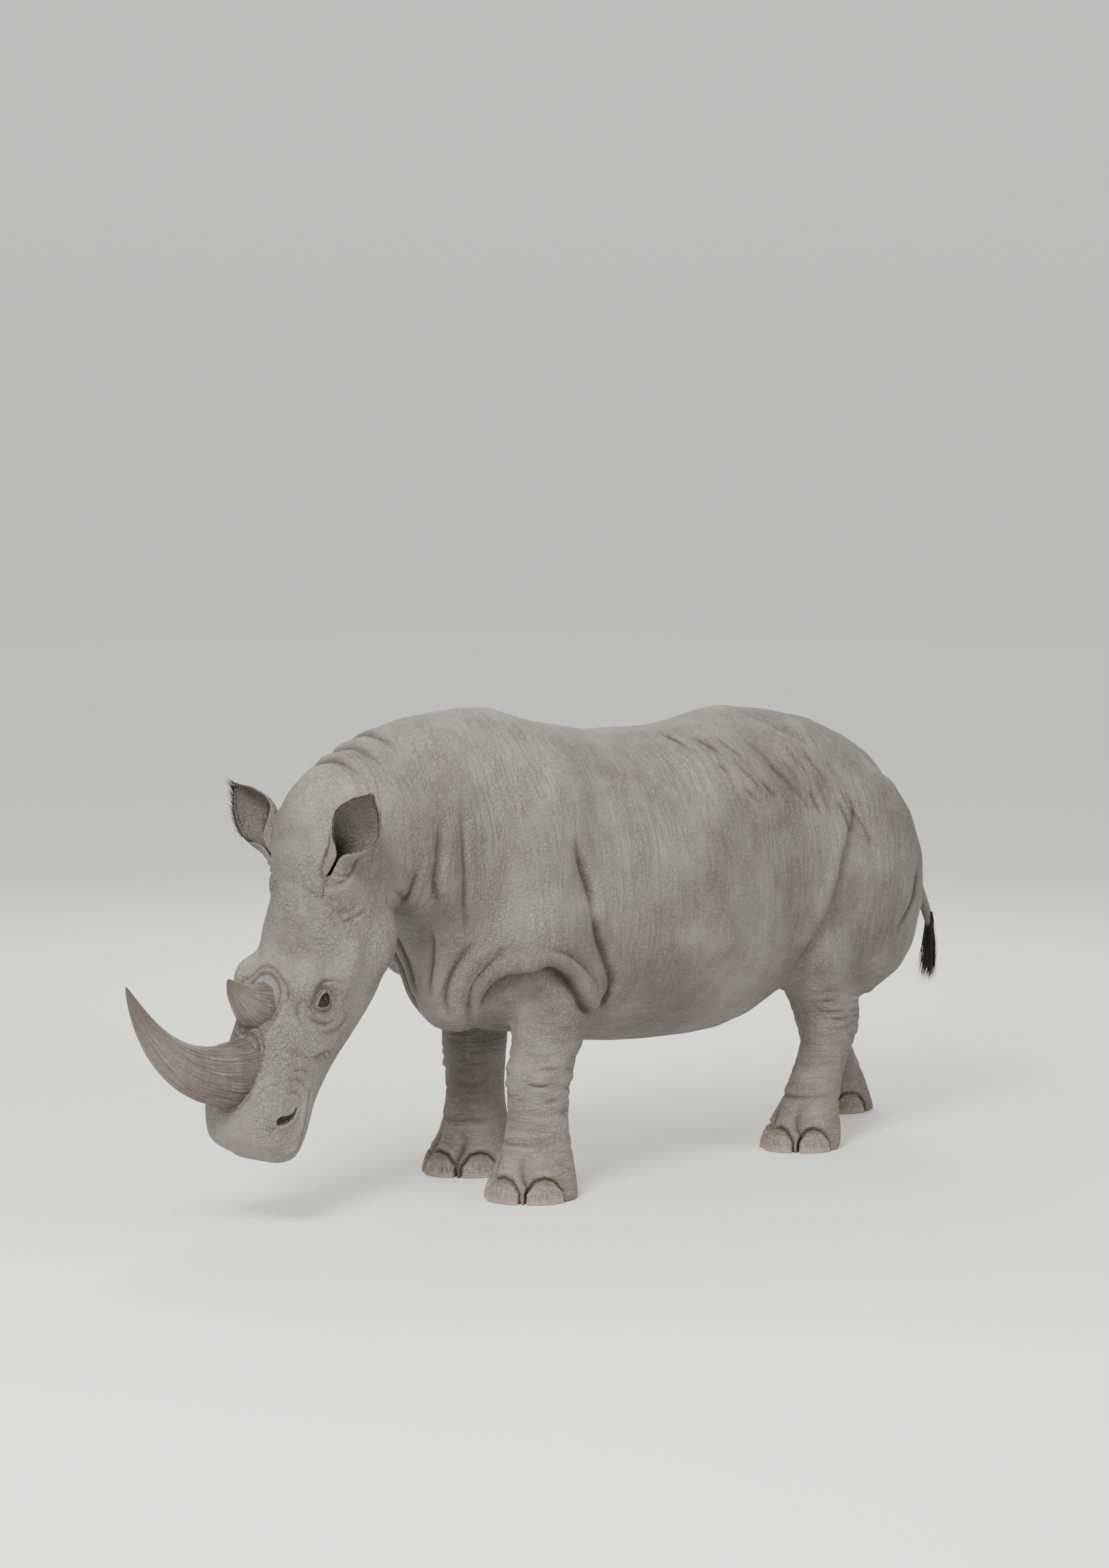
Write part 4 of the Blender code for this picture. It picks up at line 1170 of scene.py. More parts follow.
def model_horn(name):
    along, length, half_width, half_depth, bow, lean_back = HORNS[name]
    rng = np.random.default_rng(len(name))
    fine = rng.uniform(-1, 1, FIBRES)
    broad = np.tile(rng.uniform(-1, 1, FIBRES), 3)  # three turns, so that the ends meet
    broad = np.convolve(broad, np.ones(9) / 9, "same")[FIBRES:-FIBRES]

    def shape(around, share):
        t = -HORN_SUNK / length + (0.997 + HORN_SUNK / length) * share
        taper = (1 - t) ** 0.72
        centre = on_head(along + bow * 4 * t * (1 - t) - lean_back * t * t, HORN_ROOT + length * t)
        slope = math.atan2(bow * 4 * (1 - 2 * t) - 2 * lean_back * t, length)
        lean = HEAD_PITCH - math.pi / 2 + slope
        ahead = Vector((0, -math.sin(lean), math.cos(lean)))
        rough = max(0.0, 1 - t / 0.6)
        collar = 0.05 * math.exp(-((t * length - 0.065) / 0.03) ** 2)
        wobble = 0.8 * broad[int(around * FIBRES) % FIBRES]
        rings = 0.005 * math.sin(t * length * 170 + wobble) * rough
        k = round(around * FIBRES) % FIBRES
        groove = 0.0020 * rough * fine[k] + 0.0045 * (0.35 + rough) * broad[k] * taper
        grow = taper * (1 + collar + rings)
        a = math.tau * (around + 0.25)
        width = max(half_width * grow + groove, 0.0015)
        depth = max(half_depth * grow + groove, 0.0015)
        place = centre + LEFT * width * math.cos(a) + ahead * depth * math.sin(a)
        return place, (math.cos(a), math.sin(a), t)

    return roll_sheet(name + "_fibres", FIBRES, 100 if length > 0.4 else 50, shape, "fibre")


horns = {name: model_horn(name) for name in HORNS}
print("horns:", {name: count_triangles(horn) for name, horn in horns.items()})

# %% [markdown]
# ## The toenails
#
# Each nail is the front of a small hoof: broad, upright, curved round the toe and worn flat on
# the ground. The solid nails already have the place and the outline. So each is copied and
# wrapped in a net of its own, and relaxing the net rounds the edges. Then the face is bulged and
# ringed, and its foot flares a little.

# %% Round the toenails
NAIL_NET, NAIL_ROUNDS = 0.0045, 12
NAIL_BULGE, NAIL_FLARE = 0.0075, 0.0045
nails = []
for node, leg in NAILS.items():
    nail = copy_of_nodes([node], node + "_rounded")
    apply_modifier(nail, "REMESH", mode="VOXEL", voxel_size=NAIL_NET)
    relax(nail.data, NAIL_ROUNDS)
    spots = read(nail.data)
    out = spots.mean(axis=0) - np.array(SOLES[leg])
    out[2] = 0
    out /= np.linalg.norm(out)
    aside = np.array((-out[1], out[0], 0))
    middle, top = spots.mean(axis=0), spots[:, 2].max()
    outer = smoothstep(read(nail.data, "vertex_normals", "vector") @ out, 0.1, 0.7)
    half = np.abs((spots - middle) @ aside).max()
    across = np.clip(np.abs((spots - middle) @ aside) / half, 0, 1)
    up = np.clip(spots[:, 2] / top, 0, 1)
    rings = 0.0007 * np.sin(spots[:, 2] * 520 + 4 * across)
    bulge = NAIL_BULGE * (1 - across ** 2) * (1 - (2 * up - 0.9) ** 2).clip(0)
    push = bulge + NAIL_FLARE * (1 - up) ** 2 + rings
    spots += out * (push * outer)[:, None]
    spots[:, 2] = np.maximum(spots[:, 2], 0)
    write(nail.data, spots)
    bpy.ops.object.shade_smooth()
    nails.append(nail)
print("nails:", len(nails), "of", count_triangles(nails[0]), "triangles")

# %% [markdown]
# ## The eyes
#
# The eye is a ball with a slightly steeper cornea. Almost nothing but the dark iris shows between
# the lids. The ball is a sphere whose pole faces out, and an attribute holds how far round from
# the pole each point is, for the iris and the pupil.

# %% Model the eyes
GAZE_AHEAD, GAZE_DOWN = 0.16, -0.05  # the eyes look out to the side, and a little ahead
eyeballs = {}
for which, side in SIDES.items():
    deselect()
    bpy.ops.mesh.primitive_uv_sphere_add(segments=64, ring_count=40, radius=EYE_RADIUS)
    ball = bpy.context.object
    ball.name = which + "_eyeball"
    spots = read(ball.data)
    from_pole = np.arccos(np.clip(spots[:, 2] / EYE_RADIUS, -1, 1))
    spots *= (1 + 0.03 * (1 - smoothstep(from_pole, 0.25, 0.62)))[:, None]
    write(ball.data, spots)
    set_attribute(ball, "from_pole", from_pole)
    gaze = (LEFT * side + FORWARD * GAZE_AHEAD + CROWN * GAZE_DOWN).normalized()
    turn = gaze.to_track_quat("Z", "Y").to_matrix().to_4x4()
    ball.data.transform(Matrix.Translation(EYES[which]) @ turn)
    bpy.ops.object.shade_smooth()
    eyeballs[which] = ball
print("eyeballs:", list(eyeballs))

# %% [markdown]
# ## Hair
#
# Only three places have hair worth showing: the rims of the ears, the end of the tail and the
# lids. Each hair is a thin three-sided spike that bends as it grows. Hairs stand in tufts, and a
# map named OFBake keeps each tuft's place on the shape it grows from, as a small patch.

# %% Grow hairs in tufts
def spike(root, way, bend, long, thick, steps=4):
    """A three-sided spike as points and faces. It starts along way and bends as it grows."""
    one_way = way.cross(Vector((0.31, 0.87, 0.38))).normalized()
    other_way = way.cross(one_way).normalized()
    points, faces = [], []
    for k in range(steps):
        t = k / steps
        centre = root + way * long * t + bend * long * t * t
        for j in range(3):
            a = math.tau * j / 3
            radius = thick * (1 - 0.7 * t)
            points.append(centre + (one_way * math.cos(a) + other_way * math.sin(a)) * radius)
    points.append(root + way * long + bend * long)
    for k in range(steps - 1):
        for j in range(3):
            a, b = 3 * k + j, 3 * k + (j + 1) % 3
            faces.append((a, b, b + 3, a + 3))
    last = 3 * (steps - 1)
    faces += [(last + j, last + (j + 1) % 3, len(points) - 1) for j in range(3)]
    faces.append((2, 1, 0))
    return points, faces


PATCH = 0.003  # how wide a tuft's patch is on the map


def hair_piece(name, tufts):
    """One mesh from tufts. Each tuft is its place on the unwrapped shape and a list of spikes."""
    points, faces, patches, tips = [], [], [], []
    for (u, v), spikes in tufts:
        for k, (spike_points, spike_faces) in enumerate(spikes):
            start = len(points)
            points += spike_points
            tips += [(n // 3) / (len(spike_points) // 3) for n in range(len(spike_points))]
            faces += [tuple(start + n for n in face) for face in spike_faces]
            across = (k + 0.5) / len(spikes)
            for face in spike_faces:
                for n in face:
                    patches += [u + PATCH * (across + 0.1 * (n % 3 - 1)), v + PATCH * (n // 3) / 5]
    mesh = bpy.data.meshes.new(name)
    mesh.from_pydata([tuple(p) for p in points], [], faces)
    mesh.uv_layers.new(name="OFBake").uv.foreach_set("vector", np.array(patches, np.float32))
    obj = bpy.data.objects.new(name, mesh)
    bpy.context.scene.collection.objects.link(obj)
    set_attribute(obj, "tip", tips)
    face_outwards(obj)
    bpy.ops.object.shade_smooth()
    return obj


# %% Fringe the ears
RAGGED = {"left": 0.75, "right": 1.15}  # how long each ear's fringe is


def ear_fringe(which, rng):
    """Tufts along both edges of the ear and round its tip."""
    place, tufts = ear_place(which), []
    for edge in (0, 1):
        for share in np.linspace(0.34, 0.995, 52):
            root = place @ ear_point(abs(edge - 0.012), share)
            inner = place @ ear_point(abs(edge - 0.10), share)
            up = place @ ear_point(abs(edge - 0.012), min(share + 0.04, 1.04))
            out, along = (root - inner).normalized(), (up - root).normalized()
            spikes = []
            for _ in range(6):
                way = (out * rng.uniform(0.4, 1.0) + along * rng.uniform(0.3, 1.2)).normalized()
                bend = along * rng.uniform(0.0, 0.5) + Vector(rng.uniform(-0.2, 0.2, 3))
                long = rng.uniform(0.014, 0.034) * (0.7 + 0.5 * share) * RAGGED[which]
                shift = along * rng.uniform(-0.004, 0.004) - way * 0.003
                spikes.append(spike(root + shift, way, bend, long, 0.0009))
            patch_u = 0.06 + 0.40 * share + 0.48 * edge
            tufts.append(((patch_u, 0.3 if which == "left" else 0.7), spikes))
    return tufts


rng = np.random.default_rng(21)
ear_hair = {which: hair_piece(which + "_ear_fringe", ear_fringe(which, rng)) for which in SIDES}
print("ear fringes:", count_triangles(*ear_hair.values()), "triangles")

# %% Tuft the tail
TUFT_TOP, TUFT_LENGTH = Vector((0.104, 2.003, 0.810)), 0.30
tufts = []
for _ in range(150):
    down = rng.uniform(0, 1) ** 1.2
    angle = rng.choice((0.0, math.pi)) + rng.normal(0, 0.8)
    out = Vector((math.cos(angle), 0.6 * math.sin(angle), 0))
    root = TUFT_TOP + Vector((0.005, 0.003, -0.080)) * down + out * 0.013
    spikes = []
    for _ in range(4):
        way = out * rng.uniform(0.02, 0.15) + Vector((0.03, 0.0, -1))
        way += Vector(rng.normal(0, 0.03, 3))
        bend = out * rng.uniform(-0.12, 0.03) + Vector((-0.03, -0.12, 0)) * rng.uniform(0.3, 1.0)
        long = TUFT_LENGTH * rng.uniform(0.45, 0.97) * (1 - 0.27 * down)
        jitter = Vector(rng.uniform(-0.003, 0.003, 3))
        spikes.append(spike(root + jitter, way.normalized(), bend, long, 0.0013, 5))
    tufts.append(((0.05 + 0.9 * (angle % math.tau) / math.tau, 0.05 + 0.85 * down), spikes))
tail_hair = hair_piece("tail_bristles", tufts)
print("tail bristles:", count_triangles(tail_hair), "triangles")

# %% Lash the lids
def lashes(which, rng):
    side, tufts = SIDES[which], []
    for share in np.linspace(-0.85, 0.85, 15):
        a, b = OPENING[0] * share, OPENING[1] * 1.1 * math.sqrt(1 - share * share)
        ahead = a * math.cos(OPENING_TILT) - b * math.sin(OPENING_TILT)
        up = a * math.sin(OPENING_TILT) + b * math.cos(OPENING_TILT)
        ball = math.sqrt(max(EYE_RADIUS ** 2 - ahead ** 2 - up ** 2, 0))
        root = EYES[which] + FORWARD * ahead + CROWN * up + LEFT * side * (ball + 0.003)
        spikes = []
        for _ in range(3):
            out = LEFT * side * rng.uniform(0.7, 1.0)
            out += FORWARD * (0.5 * share + rng.uniform(-0.15, 0.15))
            way = (out - CROWN * rng.uniform(0.0, 0.35)).normalized()
            bend = CROWN * rng.uniform(0.1, 0.4)
            spikes.append(spike(root, way, bend, rng.uniform(0.010, 0.018), 0.0005))
        tufts.append(((0.5 + 0.4 * share, 0.5), spikes))
    return tufts


eye_lashes = {which: hair_piece(which + "_lashes", lashes(which, rng)) for which in SIDES}
print("lashes:", count_triangles(*eye_lashes.values()), "triangles")

# %% [markdown]
# ## How the finishes are made
#
# Every finish is a small tree of nodes. A short helper adds a node and joins it up, so that a
# tree reads from top to bottom. Three effects are used by several finishes, and each is a group:
# cracks, fibres and dust. All of them read the place on the object in metres, or an attribute.

# %% Add nodes in code
def feed(tree, socket, value):
    """Joins another socket to this one, or gives this one a plain value."""
    if isinstance(value, bpy.types.NodeSocket):
        tree.links.new(value, socket)
    else:
        socket.default_value = value


def add(tree, kind, settings=None, **inputs):
    """Adds a node. An input's name may be a number with an i before it."""
    node = tree.nodes.new("ShaderNode" + kind)
    for key, value in (settings or {}).items():
        setattr(node, key, value)
    for key, value in inputs.items():
        key = int(key[1:]) if key[1:].isdigit() else key.replace("_", " ")
        feed(tree, node.inputs[key], value)
    return node


def calculate(tree, operation, a, b=0.0, clamp=False):
    settings = {"operation": operation, "use_clamp": clamp}
    return add(tree, "Math", settings, i0=a, i1=b).outputs[0]


def combine(tree, operation, a, b):
    """Calculates with two directions or colours."""
    return add(tree, "VectorMath", {"operation": operation}, i0=a, i1=b).outputs[0]


def spread(tree, value, low, high, to_low=0.0, to_high=1.0):
    """Stretches the values between low and high, and cuts off the rest."""
    settings = {"interpolation_type": "SMOOTHSTEP"}
    limits = {"From_Min": low, "From_Max": high, "To_Min": to_low, "To_Max": to_high}
    return add(tree, "MapRange", settings, Value=value, **limits).outputs[0]


def blend(tree, share, a, b):
    """Mixes two colours. A colour is a socket or three numbers."""
    a, b = (c if isinstance(c, bpy.types.NodeSocket) else (*c, 1.0) for c in (a, b))
    return add(tree, "Mix", {"data_type": "RGBA"}, i0=share, i6=a, i7=b).outputs[2]


def attribute(tree, name):
    return add(tree, "Attribute", {"attribute_name": name}).outputs


def new_group(name, inputs, outputs):
    """An empty group. Inputs are name: (kind, default), outputs are name: kind."""
    group = bpy.data.node_groups.new(name, "ShaderNodeTree")
    for key, (kind, default) in inputs.items():
        socket = group.interface.new_socket(key, in_out="INPUT", socket_type="NodeSocket" + kind)
        if default is not None:
            socket.default_value = default
    for key, kind in outputs.items():
        group.interface.new_socket(key, in_out="OUTPUT", socket_type="NodeSocket" + kind)
    start, end = group.nodes.new("NodeGroupInput"), group.nodes.new("NodeGroupOutput")
    return group, start.outputs, end.inputs


def use(tree, group, **inputs):
    """Places a group in a tree."""
    node = tree.nodes.new("ShaderNodeGroup")
    node.node_tree = group
    for key, value in inputs.items():
        feed(tree, node.inputs[key.replace("_", " ")], value)
    return node.outputs


def new_material(name, **settings):
    """A material with its shader's plain settings, its node tree, and its shader's inputs."""
    material = bpy.data.materials.new(name)
    material.use_nodes = True
    shader = material.node_tree.nodes["Principled BSDF"]
    for key, value in settings.items():
        shader.inputs[key.replace("_", " ")].default_value = value
    return material, material.node_tree, shader.inputs


print("node helpers ready")

# %% [markdown]
# ## Cracks
#
# Thick dry hide is cracked into small plates, like mud. Voronoi cells have just that look: the
# distance to the edge of a cell is small along thin lines. A little noise bends the lines first,
# so that the plates aren't straight sided.

# %% The group of cracks
cracks, given, result = new_group(
    "cracks",
    {
        "Vector": ("Vector", None), "Plates per metre": ("Float", 60.0), "Width": ("Float", 0.10),
        "Bend": ("Float", 0.006), "Bends per metre": ("Float", 30.0),
    },
    {"Line": "Float", "Plate": "Float", "Dome": "Float"},
)
wander = add(cracks, "TexNoise", Vector=given["Vector"], Scale=given["Bends per metre"], Detail=2.0)
wander = combine(cracks, "SUBTRACT", wander.outputs["Color"], (0.5, 0.5, 0.5))
push = add(cracks, "VectorMath", {"operation": "SCALE"}, i0=wander, Scale=given["Bend"])
bent = combine(cracks, "ADD", push.outputs[0], given["Vector"])
edge = add(
    cracks, "TexVoronoi", {"feature": "DISTANCE_TO_EDGE"},
    Vector=bent, Scale=given["Plates per metre"],
)
cell = add(cracks, "TexVoronoi", Vector=bent, Scale=given["Plates per metre"])
feed(cracks, result["Line"], spread(cracks, edge.outputs["Distance"], given["Width"], 0.0))
feed(cracks, result["Dome"], spread(cracks, edge.outputs["Distance"], 0.0, 0.32))
feed(cracks, result["Plate"], add(cracks, "SeparateColor", Color=cell.outputs["Color"]).outputs[0])
print("group:", cracks.name)

# %% [markdown]
# ## Fibres and wrinkles
#
# Wrinkles, and the fibres of horn, nail and hair, are long one way and fine the other. Noise
# looks so when its coordinates are stretched first. Ridges come from folding the noise at its
# middle, where the fold makes a sharp line.

# %% The group of fibres
fibres, given, result = new_group(
    "fibres",
    {"Vector": ("Vector", None), "Stretch": ("Vector", (1, 1, 1)), "Detail": ("Float", 3.0)},
    {"Ridge": "Float", "Value": "Float"},
)
stretched = combine(fibres, "MULTIPLY", given["Vector"], given["Stretch"])
noise = add(
    fibres, "TexNoise", Vector=stretched, Scale=1.0, Detail=given["Detail"], Roughness=0.55,
)
fold = calculate(fibres, "ABSOLUTE", calculate(fibres, "SUBTRACT", noise.outputs[0], 0.5))
feed(fibres, result["Ridge"], spread(fibres, fold, 0.09, 0.0))
feed(fibres, result["Value"], noise.outputs[0])
print("group:", fibres.name)

# %% [markdown]
# ## Dust, and a painted highlight on top
#
# Dust lies on the back and shoulders, and mud dries on the feet and shins. So the group mixes mud
# in by height, and on faces that point up a pale colour that is dust and a painted highlight, in
# patches, and less in the grooves.

# %% The group of dust
dust_and_highlight, given, result = new_group(
    "dust_and_highlight",
    {
        "Vector": ("Vector", None), "Clean": ("Color", (0.2, 0.2, 0.2, 1)),
        "Groove": ("Float", 0.0), "Above": ("Float", 0.0), "Mud height": ("Float", 0.45),
    },
    {"Color": "Color", "Amount": "Float"},
)
MUD, DUST_AND_HIGHLIGHT = (0.235, 0.185, 0.135), (0.40, 0.36, 0.305)
patches = add(dust_and_highlight, "TexNoise", Vector=given["Vector"], Scale=4.5, Detail=6.0, Roughness=0.62)
height = add(dust_and_highlight, "SeparateXYZ", Vector=given["Vector"]).outputs[2]
ragged = calculate(dust_and_highlight, "ADD", height, calculate(dust_and_highlight, "MULTIPLY", patches.outputs[0], 0.34))
low = spread(dust_and_highlight, ragged, calculate(dust_and_highlight, "ADD", given["Mud height"], 0.17), 0.12)
patch = spread(dust_and_highlight, patches.outputs[0], 0.42, 0.68)
# Faces that point up get the pale colour: dust, and a painted highlight from above.
top = calculate(dust_and_highlight, "MULTIPLY", given["Above"], calculate(dust_and_highlight, "ADD", patch, 0.35), True)
grain = add(dust_and_highlight, "TexNoise", Vector=given["Vector"], Scale=55.0, Detail=4.0)
speck = spread(dust_and_highlight, grain.outputs[0], 0.35, 0.65, 0.35, 1.0)
smooth = calculate(dust_and_highlight, "SUBTRACT", 1.0, given["Groove"], True)
top = calculate(dust_and_highlight, "MULTIPLY", calculate(dust_and_highlight, "MULTIPLY", top, speck), smooth)
muddy = blend(dust_and_highlight, calculate(dust_and_highlight, "MULTIPLY", low, 0.55), given["Clean"], MUD)
feed(dust_and_highlight, result["Color"], blend(dust_and_highlight, calculate(dust_and_highlight, "MULTIPLY", top, 0.50), muddy, DUST_AND_HIGHLIGHT))
feed(dust_and_highlight, result["Amount"], calculate(dust_and_highlight, "ADD", top, low, True))
print("group:", dust_and_highlight.name)

# %% [markdown]
# ## The hide's attributes
#
# Which way the wrinkles run depends on the part of the body. They ring the barrel and neck,
# cross the head, and ring the legs. So three attributes go with the hide: how much a point is
# leg, how much it is head, and how far its surface faces up, where dust lies and a highlight is
# painted.

# %% Mark the regions of the hide
spots = read(hide.data)
normals = read(hide.data, "vertex_normals", "vector")
down_head = (spots - np.array(HEAD_ROOT)) @ np.array(FORWARD) / HEAD_LENGTH
is_head = smoothstep(down_head, 0.02, 0.20) * (spots[:, 1] < -0.9)
is_leg = smoothstep(-spots[:, 2], -0.80, -0.58) * (1 - is_head)
faces_up = smoothstep(normals[:, 2], -0.05, 0.95)
set_attribute(hide, "leg", is_leg)
set_attribute(hide, "face", is_head)
set_attribute(hide, "above", faces_up)
print("leg", round(float(is_leg.mean()), 2), "face", round(float(is_head.mean()), 2))

# %% [markdown]
# ## The hide's finish
#
# The colour is a warm grey that varies in broad patches and from plate to plate. Cracks and
# wrinkles are darkened with dirt and painted shade, and creases with painted shade. The bump adds
# up cracks of two sizes, wrinkles that run the right way on each part, and pores.

# %% Paint the hide
HIDE_DARK, HIDE_LIGHT = (0.104, 0.094, 0.084), (0.222, 0.204, 0.183)
DIRT_AND_SHADE, SHADE = (0.055, 0.048, 0.042), (0.034, 0.027, 0.023)  # dirt and painted shade in the cracks, painted shade in the creases
hide_finish, tree, shader = new_material("hide", Roughness=0.8, Specular_IOR_Level=0.28)
place = add(tree, "TexCoord").outputs["Object"]
crease = attribute(tree, "crease")["Fac"]
leg, face, above = (attribute(tree, name)["Fac"] for name in ("leg", "face", "above"))

coarse = use(
    tree, cracks, Vector=place, Plates_per_metre=62.0, Width=0.075,
    Bend=0.022, Bends_per_metre=34.0,
)
fine = use(
    tree, cracks, Vector=place, Plates_per_metre=165.0, Width=0.12,
    Bend=0.007, Bends_per_metre=90.0,
)
hoops = use(tree, fibres, Vector=place, Stretch=(5.0, 30.0, 4.0), Detail=3.0)
rings = use(tree, fibres, Vector=place, Stretch=(7.0, 7.0, 42.0), Detail=3.0)
lines = use(tree, fibres, Vector=place, Stretch=(12.0, 26.0, 34.0), Detail=3.0)
wrinkles = calculate(tree, "MULTIPLY", hoops["Ridge"], calculate(tree, "SUBTRACT", 1.0, leg, True))
wrinkles = calculate(tree, "ADD", wrinkles, calculate(tree, "MULTIPLY", rings["Ridge"], leg))
wrinkles = calculate(tree, "MULTIPLY", wrinkles, calculate(tree, "SUBTRACT", 1.0, face, True))
wrinkles = calculate(tree, "ADD", wrinkles, calculate(tree, "MULTIPLY", lines["Ridge"], face))
where = add(tree, "TexNoise", Vector=place, Scale=3.2, Detail=3.0)
rough_places = spread(tree, where.outputs[0], 0.35, 0.62, 0.30, 1.0)
wrinkles = calculate(tree, "MULTIPLY", wrinkles, rough_places)

broad = add(tree, "TexNoise", Vector=place, Scale=2.1, Detail=5.0, Roughness=0.6)
plates = calculate(tree, "MULTIPLY", coarse["Plate"], 0.18)
tone = calculate(tree, "ADD", spread(tree, broad.outputs[0], 0.30, 0.70), plates)
tone = calculate(tree, "MULTIPLY", tone, 0.8, True)
colour = blend(tree, tone, HIDE_DARK, HIDE_LIGHT)
cracked = add(tree, "TexNoise", Vector=place, Scale=11.0, Detail=3.0)
cracked = spread(tree, cracked.outputs[0], 0.36, 0.64, 0.12, 1.0)
coarse_line = calculate(tree, "MULTIPLY", coarse["Line"], cracked)
# Dirt and painted shade in the cracks and wrinkles.
dirt_and_shade = calculate(tree, "MULTIPLY", coarse_line, 0.30)
dirt_and_shade = calculate(tree, "ADD", dirt_and_shade, calculate(tree, "MULTIPLY", fine["Line"], 0.20))
dirt_and_shade = calculate(tree, "ADD", dirt_and_shade, calculate(tree, "MULTIPLY", wrinkles, 0.30), True)
groove = calculate(tree, "ADD", dirt_and_shade, calculate(tree, "MULTIPLY", crease, 0.9), True)
# Mud low down, and dust with a painted highlight on faces that point up.
dust_and_highlight_layer = use(tree, dust_and_highlight, Vector=place, Clean=colour, Groove=groove, Above=above, Mud_height=0.40)
colour = blend(tree, calculate(tree, "MULTIPLY", dirt_and_shade, 0.62), dust_and_highlight_layer["Color"], DIRT_AND_SHADE)
# Painted shade in the creases, lids, nostrils, ear hollows and tail grooves, from the crease
# attribute.
colour = blend(tree, calculate(tree, "MULTIPLY", crease, 0.80, True), colour, SHADE)
feed(tree, shader["Base Color"], colour)
feed(tree, shader["Roughness"], spread(tree, dust_and_highlight_layer["Amount"], 0.0, 1.0, 0.68, 0.92))

pores = add(tree, "TexNoise", Vector=place, Scale=420.0, Detail=3.0)
relief = calculate(tree, "MULTIPLY", coarse_line, -0.8)
relief = calculate(tree, "ADD", relief, calculate(tree, "MULTIPLY", coarse["Dome"], 0.55))
relief = calculate(tree, "ADD", relief, calculate(tree, "MULTIPLY", fine["Dome"], 0.45))
relief = calculate(tree, "ADD", relief, calculate(tree, "MULTIPLY", wrinkles, -1.3))
relief = calculate(tree, "ADD", relief, calculate(tree, "MULTIPLY", pores.outputs[0], 0.35))
bump = add(tree, "Bump", Strength=0.75, Distance=0.004, Height=relief)
feed(tree, shader["Normal"], bump.outputs[0])
print("hide finish:", len(tree.nodes), "nodes")

# %% [markdown]
# ## Horn and toenail
#
# Horn is grey brown and dull where it frays at the foot, and darker and smoother towards the
# tip. The attribute made with the horn follows it round and along, so noise stretched along it
# makes the fibres. A toenail is the same stuff, ringed from growing and scuffed pale below.

# %% Paint the horns
HORN_DARK, HORN_LIGHT = (0.100, 0.083, 0.067), (0.285, 0.243, 0.195)
THREAD, GROWTH = (0.055, 0.044, 0.035), (0.070, 0.055, 0.042)
HORN_TIP, HORN_FOOT = (0.060, 0.048, 0.038), (0.085, 0.072, 0.060)
horn_finish, tree, shader = new_material("horn", Specular_IOR_Level=0.4)
along_horn = attribute(tree, "fibre")["Vector"]
share = add(tree, "SeparateXYZ", Vector=along_horn).outputs[2]
strands = use(tree, fibres, Vector=along_horn, Stretch=(16.0, 16.0, 3.0), Detail=6.0)
threads = use(tree, fibres, Vector=along_horn, Stretch=(60.0, 60.0, 5.0), Detail=4.0)
growth = use(tree, fibres, Vector=along_horn, Stretch=(0.8, 0.8, 34.0), Detail=4.0)
worn = spread(tree, share, 0.08, 0.75)
colour = blend(tree, spread(tree, strands["Value"], 0.30, 0.70), HORN_DARK, HORN_LIGHT)
colour = blend(tree, calculate(tree, "MULTIPLY", threads["Ridge"], 0.40), colour, THREAD)
colour = blend(tree, calculate(tree, "MULTIPLY", growth["Ridge"], 0.30), colour, GROWTH)
colour = blend(tree, spread(tree, share, 0.45, 1.0, 0.0, 0.72), colour, HORN_TIP)
colour = blend(tree, spread(tree, share, 0.22, 0.06, 0.0, 0.55), colour, HORN_FOOT)
feed(tree, shader["Base Color"], colour)
feed(tree, shader["Roughness"], spread(tree, worn, 0.0, 1.0, 0.78, 0.36))
fray = calculate(tree, "MULTIPLY", threads["Ridge"], -0.35)
fray = calculate(tree, "ADD", strands["Value"], fray)
fray = calculate(tree, "MULTIPLY", fray, spread(tree, worn, 0.0, 1.0, 1.0, 0.22))
fray = calculate(tree, "ADD", fray, calculate(tree, "MULTIPLY", growth["Ridge"], -0.12))
bump = add(tree, "Bump", Strength=0.8, Distance=0.006, Height=fray)
feed(tree, shader["Normal"], bump.outputs[0])
print("horn finish:", len(tree.nodes), "nodes")

# %% Paint the toenails
NAIL_DARK, NAIL_LIGHT = (0.110, 0.088, 0.068), (0.300, 0.252, 0.198)
NAIL_RING, SCUFF, NAIL_TOP = (0.075, 0.060, 0.046), (0.35, 0.30, 0.235), (0.070, 0.056, 0.045)
nail_finish, tree, shader = new_material("toenail", Specular_IOR_Level=0.35)
place = add(tree, "TexCoord").outputs["Object"]
height = add(tree, "SeparateXYZ", Vector=place).outputs[2]
upright = use(tree, fibres, Vector=place, Stretch=(240.0, 240.0, 14.0), Detail=4.0)
growth = use(tree, fibres, Vector=place, Stretch=(12.0, 12.0, 210.0), Detail=3.0)
colour = blend(tree, spread(tree, upright["Value"], 0.3, 0.7), NAIL_DARK, NAIL_LIGHT)
colour = blend(tree, calculate(tree, "MULTIPLY", growth["Ridge"], 0.45), colour, NAIL_RING)
colour = blend(tree, spread(tree, height, 0.030, 0.0, 0.0, 0.50), colour, SCUFF)
colour = blend(tree, spread(tree, height, 0.050, 0.086, 0.0, 0.75), colour, NAIL_TOP)
dust_and_highlight_layer = use(tree, dust_and_highlight, Vector=place, Clean=colour, Groove=growth["Ridge"], Mud_height=0.02)
feed(tree, shader["Base Color"], dust_and_highlight_layer["Color"])
feed(tree, shader["Roughness"], spread(tree, upright["Value"], 0.3, 0.7, 0.42, 0.66))
lines = calculate(tree, "ADD", upright["Value"], calculate(tree, "MULTIPLY", growth["Ridge"], -0.6))
bump = add(tree, "Bump", Strength=0.6, Distance=0.002, Height=lines)
feed(tree, shader["Normal"], bump.outputs[0])
